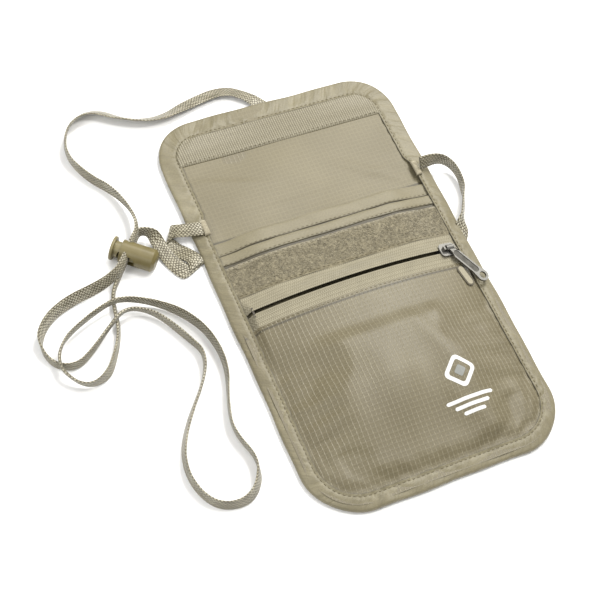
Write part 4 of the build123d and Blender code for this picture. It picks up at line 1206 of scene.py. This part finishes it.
def make_front_panel():
    """The zip pocket's front: cut a little full, sewn round its edge, swollen and softly creased."""
    x, y = grid(BOTTOM_Y + 3, FRONT_Y, 3.0, 1.7, 86)
    z = front_height(x, y)
    trial = open_grid("front_trial", x, y, z)
    inset = half_width(y, 0) - np.abs(x)
    edge = np.minimum(np.minimum(inset, y - BOTTOM_Y) - BODY_BORDER - 0.4, FRONT_Y - 2.4 - y)
    held = (edge < 0).astype(float).ravel()
    solved = settle(trial, held, 22, 1.5, 0.014, 2.2)
    bpy.data.objects.remove(trial)
    x, y, z = (solved[:, axis].reshape(x.shape) for axis in range(3))
    inside = smooth((half_width(y, BODY_BORDER) - np.abs(x)) / 9) * smooth((FRONT_Y - 3 - y) / 12)
    inside = inside * smooth((y - BOTTOM_Y - BODY_BORDER) / 10)
    folds = 0.5 * (1 + np.sin(x / 4.9 + 0.05 * y + 0.8 * np.sin(y / 27))) * smooth((-34 - y) / 34)
    folds = folds + 0.45 * (1 + np.sin(x / 8.7 - 0.03 * y + 1.9)) * smooth((-22 - y) / 20)
    slants = 0.5 * np.exp(-(((x * 0.78 + y * 0.62) + 38) / 3.2) ** 2) * smooth((x - 6) / 22)
    slants = slants + 0.75 * np.exp(-(((x * 0.9 + y * 0.43) - 9) / 3.4) ** 2) * smooth((x - 12) / 20)
    slants = slants + 0.6 * np.exp(-(((x * 0.86 + y * 0.51) + 6) / 3.0) ** 2) * smooth((x - 18) / 20)
    slants = slants + 0.5 * np.exp(-(((x * 0.94 + y * 0.33) - 2) / 4.0) ** 2)
    tight = 0.2 * np.sin((np.abs(x) * 0.35 + y) / 1.7 + 2 * np.sin(y / 9))
    tight = tight * (1 - smooth((half_width(y, BODY_BORDER) - np.abs(x)) / 12))
    z = z + inside * (folds + slants + 0.35 * ripple(x, y, 26, 31)) + 0.55 * tight * inside
    level = front_height(x, y)
    z = level + (z - level) * smooth((PULL_LOW_Y - 1.0 - y) / 11)
    z = np.clip(z, note_height(x, y) + PANEL_GAP, FRONT_CROWN + 4.0)
    panel = surface("front_cloth", x, y, z, 0.35, ripstop)
    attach(panel, "pouch")
    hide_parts("front_panel")
    return panel


def tape(name, node, rows, material):
    """A zip tape from rows of (y, height over x), running under the border at both ends."""
    across = np.linspace(-MOUTH_HALF - 1.6, MOUTH_HALF + 1.6, 190)
    x = np.repeat(across[None, :], len(rows), 0)
    y = np.stack([np.full_like(across, row[0]) for row in rows])
    z = np.stack([row[1](across) for row in rows])
    z = z + 0.02 * ripple(x, y, 6, 44)
    made = surface(name, x, y, z, 0.35, material)
    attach(made, "pouch")
    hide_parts(node)
    return made


def make_zip():
    """The tapes and the two rows of coil."""
    lower_edge = ZIP_Y - 1.0
    rows = []
    for y in np.linspace(-16.4, lower_edge, 14):
        over_coil = smooth((y - lower_edge + 2.6) / 1.6)
        lip = -0.25 if y == lower_edge else 0.0
        rows.append((y, lambda x, rise=0.42 + 0.45 * over_coil + lip: zip_height(x) + rise))
    lower = tape("zip_tape_front", "zip_tape_lower", rows, zip_tape)
    upper_edge = ZIP_Y + 1.0
    rows = []
    for y in np.linspace(upper_edge, 6.9, 16):
        share = smooth((y - upper_edge) / (6.9 - upper_edge))
        over_coil = 1 - smooth((y - upper_edge - 1.0) / 1.6)
        bulge = math.sin(share * math.pi)
        clear = smooth((y - upper_edge - 4.0) / 2.5)

        def lifted(x, y=y, share=share, over_coil=over_coil, bulge=bulge, clear=clear):
            high = zip_height(x) + 0.42 + 0.45 * over_coil
            low = np.minimum(note_height(x, np.full_like(x, y)) + 0.5, high)
            waves = 0.35 * bulge * np.sin(x / 3.7 + 0.5 * np.sin(x / 11)) * clear
            return high * (1 - share) + low * share + waves * (1 - smooth((np.abs(x) - 56) / 5))

        rows.append((y, lifted))
    tape("zip_tape_back", "zip_tape_upper", rows, zip_tape)
    for name, side, node in (("coil_front", -1, "zip_coil_lower"), ("coil_back", 1, "zip_coil_upper")):
        make_coil(name, side, node)
    return lower


def make_coil(name, side, node):
    """One row of the nylon coil: a thin filament wound along the zip's arc."""
    pitch = 1.25
    turns = int(2 * COIL_HALF / pitch)
    per_turn = 12
    sides = 5
    wire = 0.27
    angle = np.arange(turns * per_turn + 1) / per_turn * 2 * math.pi
    x = -COIL_HALF + angle / (2 * math.pi) * pitch
    y = ZIP_Y + side * (ROW_SPACING / 2 + 0.1) - side * 0.62 * np.cos(angle)
    z = zip_height(x) - 0.22 + 0.42 * np.sin(angle)
    line = np.stack([x, y, z], 1)
    tangent = np.gradient(line, axis=0)
    tangent = tangent / np.linalg.norm(tangent, axis=1)[:, None]
    first = np.cross(tangent, [1.0, 0, 0.3])
    first = first / np.linalg.norm(first, axis=1)[:, None]
    second = np.cross(tangent, first)
    ring = []
    for index in range(sides):
        turn = 2 * math.pi * index / sides
        ring.append(line + (first * math.cos(turn) + second * math.sin(turn)) * wire)
    points = np.stack(ring, 1).reshape(-1, 3)
    faces = []
    for step in range(len(line) - 1):
        for index in range(sides):
            a, b = step * sides + index, step * sides + (index + 1) % sides
            faces.append((a, b, b + sides, a + sides))
    faces.append(tuple(reversed(range(sides))))
    faces.append(tuple(len(points) - sides + index for index in range(sides)))
    uvs = points[np.array([index for face in faces for index in face]), :2]
    coil = make_mesh(name, points, faces, uvs, dark_coil)
    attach(coil, "pouch")
    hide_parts(node)


def rounded_square(size, radius, count):
    """Places round a rounded square that stands on one corner, in count steps."""
    places = []
    for index in range(count):
        turn = 2 * math.pi * index / count
        corner = math.copysign(size / 2 - radius, math.cos(turn)), math.copysign(size / 2 - radius, math.sin(turn))
        reach = max(abs(math.cos(turn)), abs(math.sin(turn)))
        edge = (math.cos(turn) / reach * size / 2, math.sin(turn) / reach * size / 2)
        over = (edge[0] - corner[0], edge[1] - corner[1])
        inside = abs(edge[0]) > size / 2 - radius and abs(edge[1]) > size / 2 - radius
        if inside:
            length = math.hypot(*over)
            edge = (corner[0] + over[0] / length * radius, corner[1] + over[1] / length * radius)
        places.append(((edge[0] - edge[1]) * math.sqrt(0.5), (edge[0] + edge[1]) * math.sqrt(0.5)))
    return np.array(places)


def make_mark(ground):
    """A plain printed mark: a diamond in a square frame over three bars."""
    centre = np.array([24.0, -73.0])

    def lay(name, x, y, material, wrap):
        z = np.zeros_like(x)
        for place in np.ndindex(x.shape):
            z[place] = (ground.height(x[place], y[place]) or 8.0) + 0.09
        piece = surface(name, x, y, z, 0.12, material, wrap)
        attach(piece, "pouch")

    outer, inner = rounded_square(13.0, 2.6, 96), rounded_square(9.0, 1.4, 96)
    shares = np.linspace(0, 1, 4)
    ring = np.array([inner * (1 - share) + outer * share for share in shares]) + centre
    lay("mark_frame", ring[..., 0], ring[..., 1], ink, True)
    small = rounded_square(4.6, 0.7, 48)
    disc = np.array([small * share for share in (1.0, 0.66, 0.33, 0.02)])[::-1] + centre
    lay("mark_diamond", disc[..., 0], disc[..., 1], grey_ink, True)
    for index in range(3):
        length = 26.0 - 7.0 * index
        across = np.linspace(-1, 1, 40)
        ends = np.clip((np.abs(across) * length / 2 - (length / 2 - 0.9)) / 0.9, 0, 1)
        high = 0.9 * np.sqrt(np.clip(1 - ends**2, 0.02, 1))
        x = np.repeat((centre[0] + across * length / 2)[None, :], 4, 0)
        y = centre[1] - 13.5 - 3.4 * index + np.linspace(-1, 1, 4)[:, None] * high[None, :]
        lay(f"mark_bar_{index + 1}", x, y, ink, False)
    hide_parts("printed_mark")


def make_end_tab(ground):
    """The folded tongue of tape that covers the zip's end: a pale top in a dark, slightly lower and wider rim."""
    low, high = corners("zip_end_tab")
    centre = np.array([(low[0] + high[0]) / 2, (low[1] + high[1]) / 2])
    lean = math.radians(-78)
    along = np.array([math.cos(lean), math.sin(lean)])
    across = np.array([-along[1], along[0]])
    count = 72
    for name, half_length, half, rise, shape, material in (
        ("end_tab_rim", 6.25, 2.3, 0.5, (0.0, 0.45, 0.8, 0.95, 1.0), tab_rim),
        ("end_tab_cloth", 5.6, 1.6, 0.75, (0.0, 0.5, 0.85, 1.0), tab_cloth),
    ):
        rows = []
        for share in shape:
            row = []
            for index in range(count):
                turn = 2 * math.pi * index / count
                shift = math.copysign(half_length - half, math.cos(turn)) * min(1, abs(math.cos(turn)) * 4)
                place = centre + share * (along * (shift + half * math.cos(turn)) + across * half * math.sin(turn))
                row.append(place)
            rows.append(row)
        plan = np.array(rows)
        plan[0] = plan[0] * 0 + centre + (plan[1] - centre) * 0.02
        z = np.zeros(plan.shape[:2])
        for place in np.ndindex(z.shape):
            sag = 0.35 * shape[place[0]] ** 4
            z[place] = (ground.height(*plan[place]) or low[2]) + rise - sag
        slope = np.stack([plan[..., 0].ravel(), plan[..., 1].ravel(), np.ones(z.size)], 1)
        fitted = (slope @ np.linalg.lstsq(slope, z.ravel(), rcond=None)[0]).reshape(z.shape)
        z = fitted + 0.5 * float(np.max(z - fitted)) + 0.3
        piece = surface(name, plan[..., 0], plan[..., 1], z, 0.7, material, True)
        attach(piece, "pouch")
        if name == "end_tab_rim":
            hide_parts("zip_end_tab")


# ---------------------------------------------------------------- flap fastening and cord ends
def make_hook_strip():
    """The stiff half of the fastening: fine upright ribs of hooks, sewn along its lower edge."""
    x, y = grid(HOOK_LOW_Y, HOOK_HIGH_Y - 0.2, FLAP_BORDER - 1.2, 0.5, 360)
    y = np.minimum(y, TOP_Y - FLAP_BORDER + 0.6)
    edge = np.minimum(y - HOOK_LOW_Y, half_width(y, FLAP_BORDER - 1.2) - np.abs(x))
    ribs = 0.16 * np.sin(x * 2 * math.pi / HOOK_PITCH) * (0.65 + 0.35 * np.sin(y * 2 * math.pi / 1.2))
    z = lining_height(x, y) + 0.45 + 0.5 * smooth(edge / 1.0) + ribs * smooth(edge / 1.4)
    z = z + 0.12 * ripple(x, y, 34, 52)
    strip = surface("hook_strip_ribs", x, y, z, 0.5, hooks)
    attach(strip, "flap")
    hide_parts("hook_strip")
    half = HALF - FLAP_BORDER
    lines = [straight_line(HOOK_LOW_Y + 1.1, half - 1, 6)]
    sewn = stitches("hook_stitches", lines, Ground(strip))
    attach(sewn, "flap")


def make_cord_tack(name, node):
    """A bar tack over a sewn-down cord end: tight zigzag thread across the braid."""
    low, high = corners(node)
    columns, rows = 26, 40
    x, y = np.meshgrid(np.linspace(low[0], high[0], columns), np.linspace(low[1], high[1], rows))
    shares_x = np.abs(np.linspace(-1, 1, columns))[None, :]
    shares_y = np.abs(np.linspace(-1, 1, rows))[:, None]
    z = high[2] - 0.1 - 0.7 * shares_x**4 - 0.7 * shares_y**8 + 0.14 * np.sin(y * 2 * math.pi / 0.62)
    piece = surface(name, x, y, z, high[2] - low[2] - 0.8, pale_thread)
    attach(piece, "pouch")
    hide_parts(node)


BUTTON_AXIS = Vector((0.7682, -0.6402, 0))


def let_spring_press():
    """Finds the end of the lock's spring that sits furthest along the button's axis, and gives the spring a mesh of
    its own.
    """
    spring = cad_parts["lock_spring"]
    places = [spring.matrix_world @ vertex.co for vertex in spring.data.vertices]
    along = [place.dot(BUTTON_AXIS) for place in places]
    seat = places[along.index(max(along))]
    tuple(seat)
    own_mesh(spring)


def finish_hardware():
    """Finishes for the CAD nodes that stay: slider, pull, stops and cord lock."""
    for node, material in (("slider_body", shaded_slider_metal), ("slider_bail", shaded_slider_metal), ("pull_tab", pull_metal),
                           ("zip_stops", dark_coil), ("lock_barrel", lock_plastic), ("lock_button", button_plastic),
                           ("lock_spring", spring_metal)):
        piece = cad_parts[node]
        piece.data.materials.clear()
        piece.data.materials.append(material)
        bevel = piece.modifiers.new("soft_edges", "BEVEL")
        bevel.width = 0.00016
        bevel.segments = 2
        bevel.limit_method = "ANGLE"
        bevel.angle_limit = math.radians(40)
        bevel.harden_normals = False


make_camera()
make_studio()
make_cord()
make_outer_cloth()
make_inner_lining()
make_binding()
make_pockets()
front = make_front_panel()
lower_tape = make_zip()
make_mark(Ground(front))
make_end_tab(Ground(front, lower_tape))
seam_stitches = stitches("zip_stitches", [straight_line(FRONT_Y - 0.9, MOUTH_HALF - 0.5, 7)], Ground(front))
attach(seam_stitches, "pouch")
make_hook_strip()
make_cord_tack("tack_left", "cord_tack_left")
make_cord_tack("tack_right", "cord_tack_right")
finish_hardware()
let_spring_press()
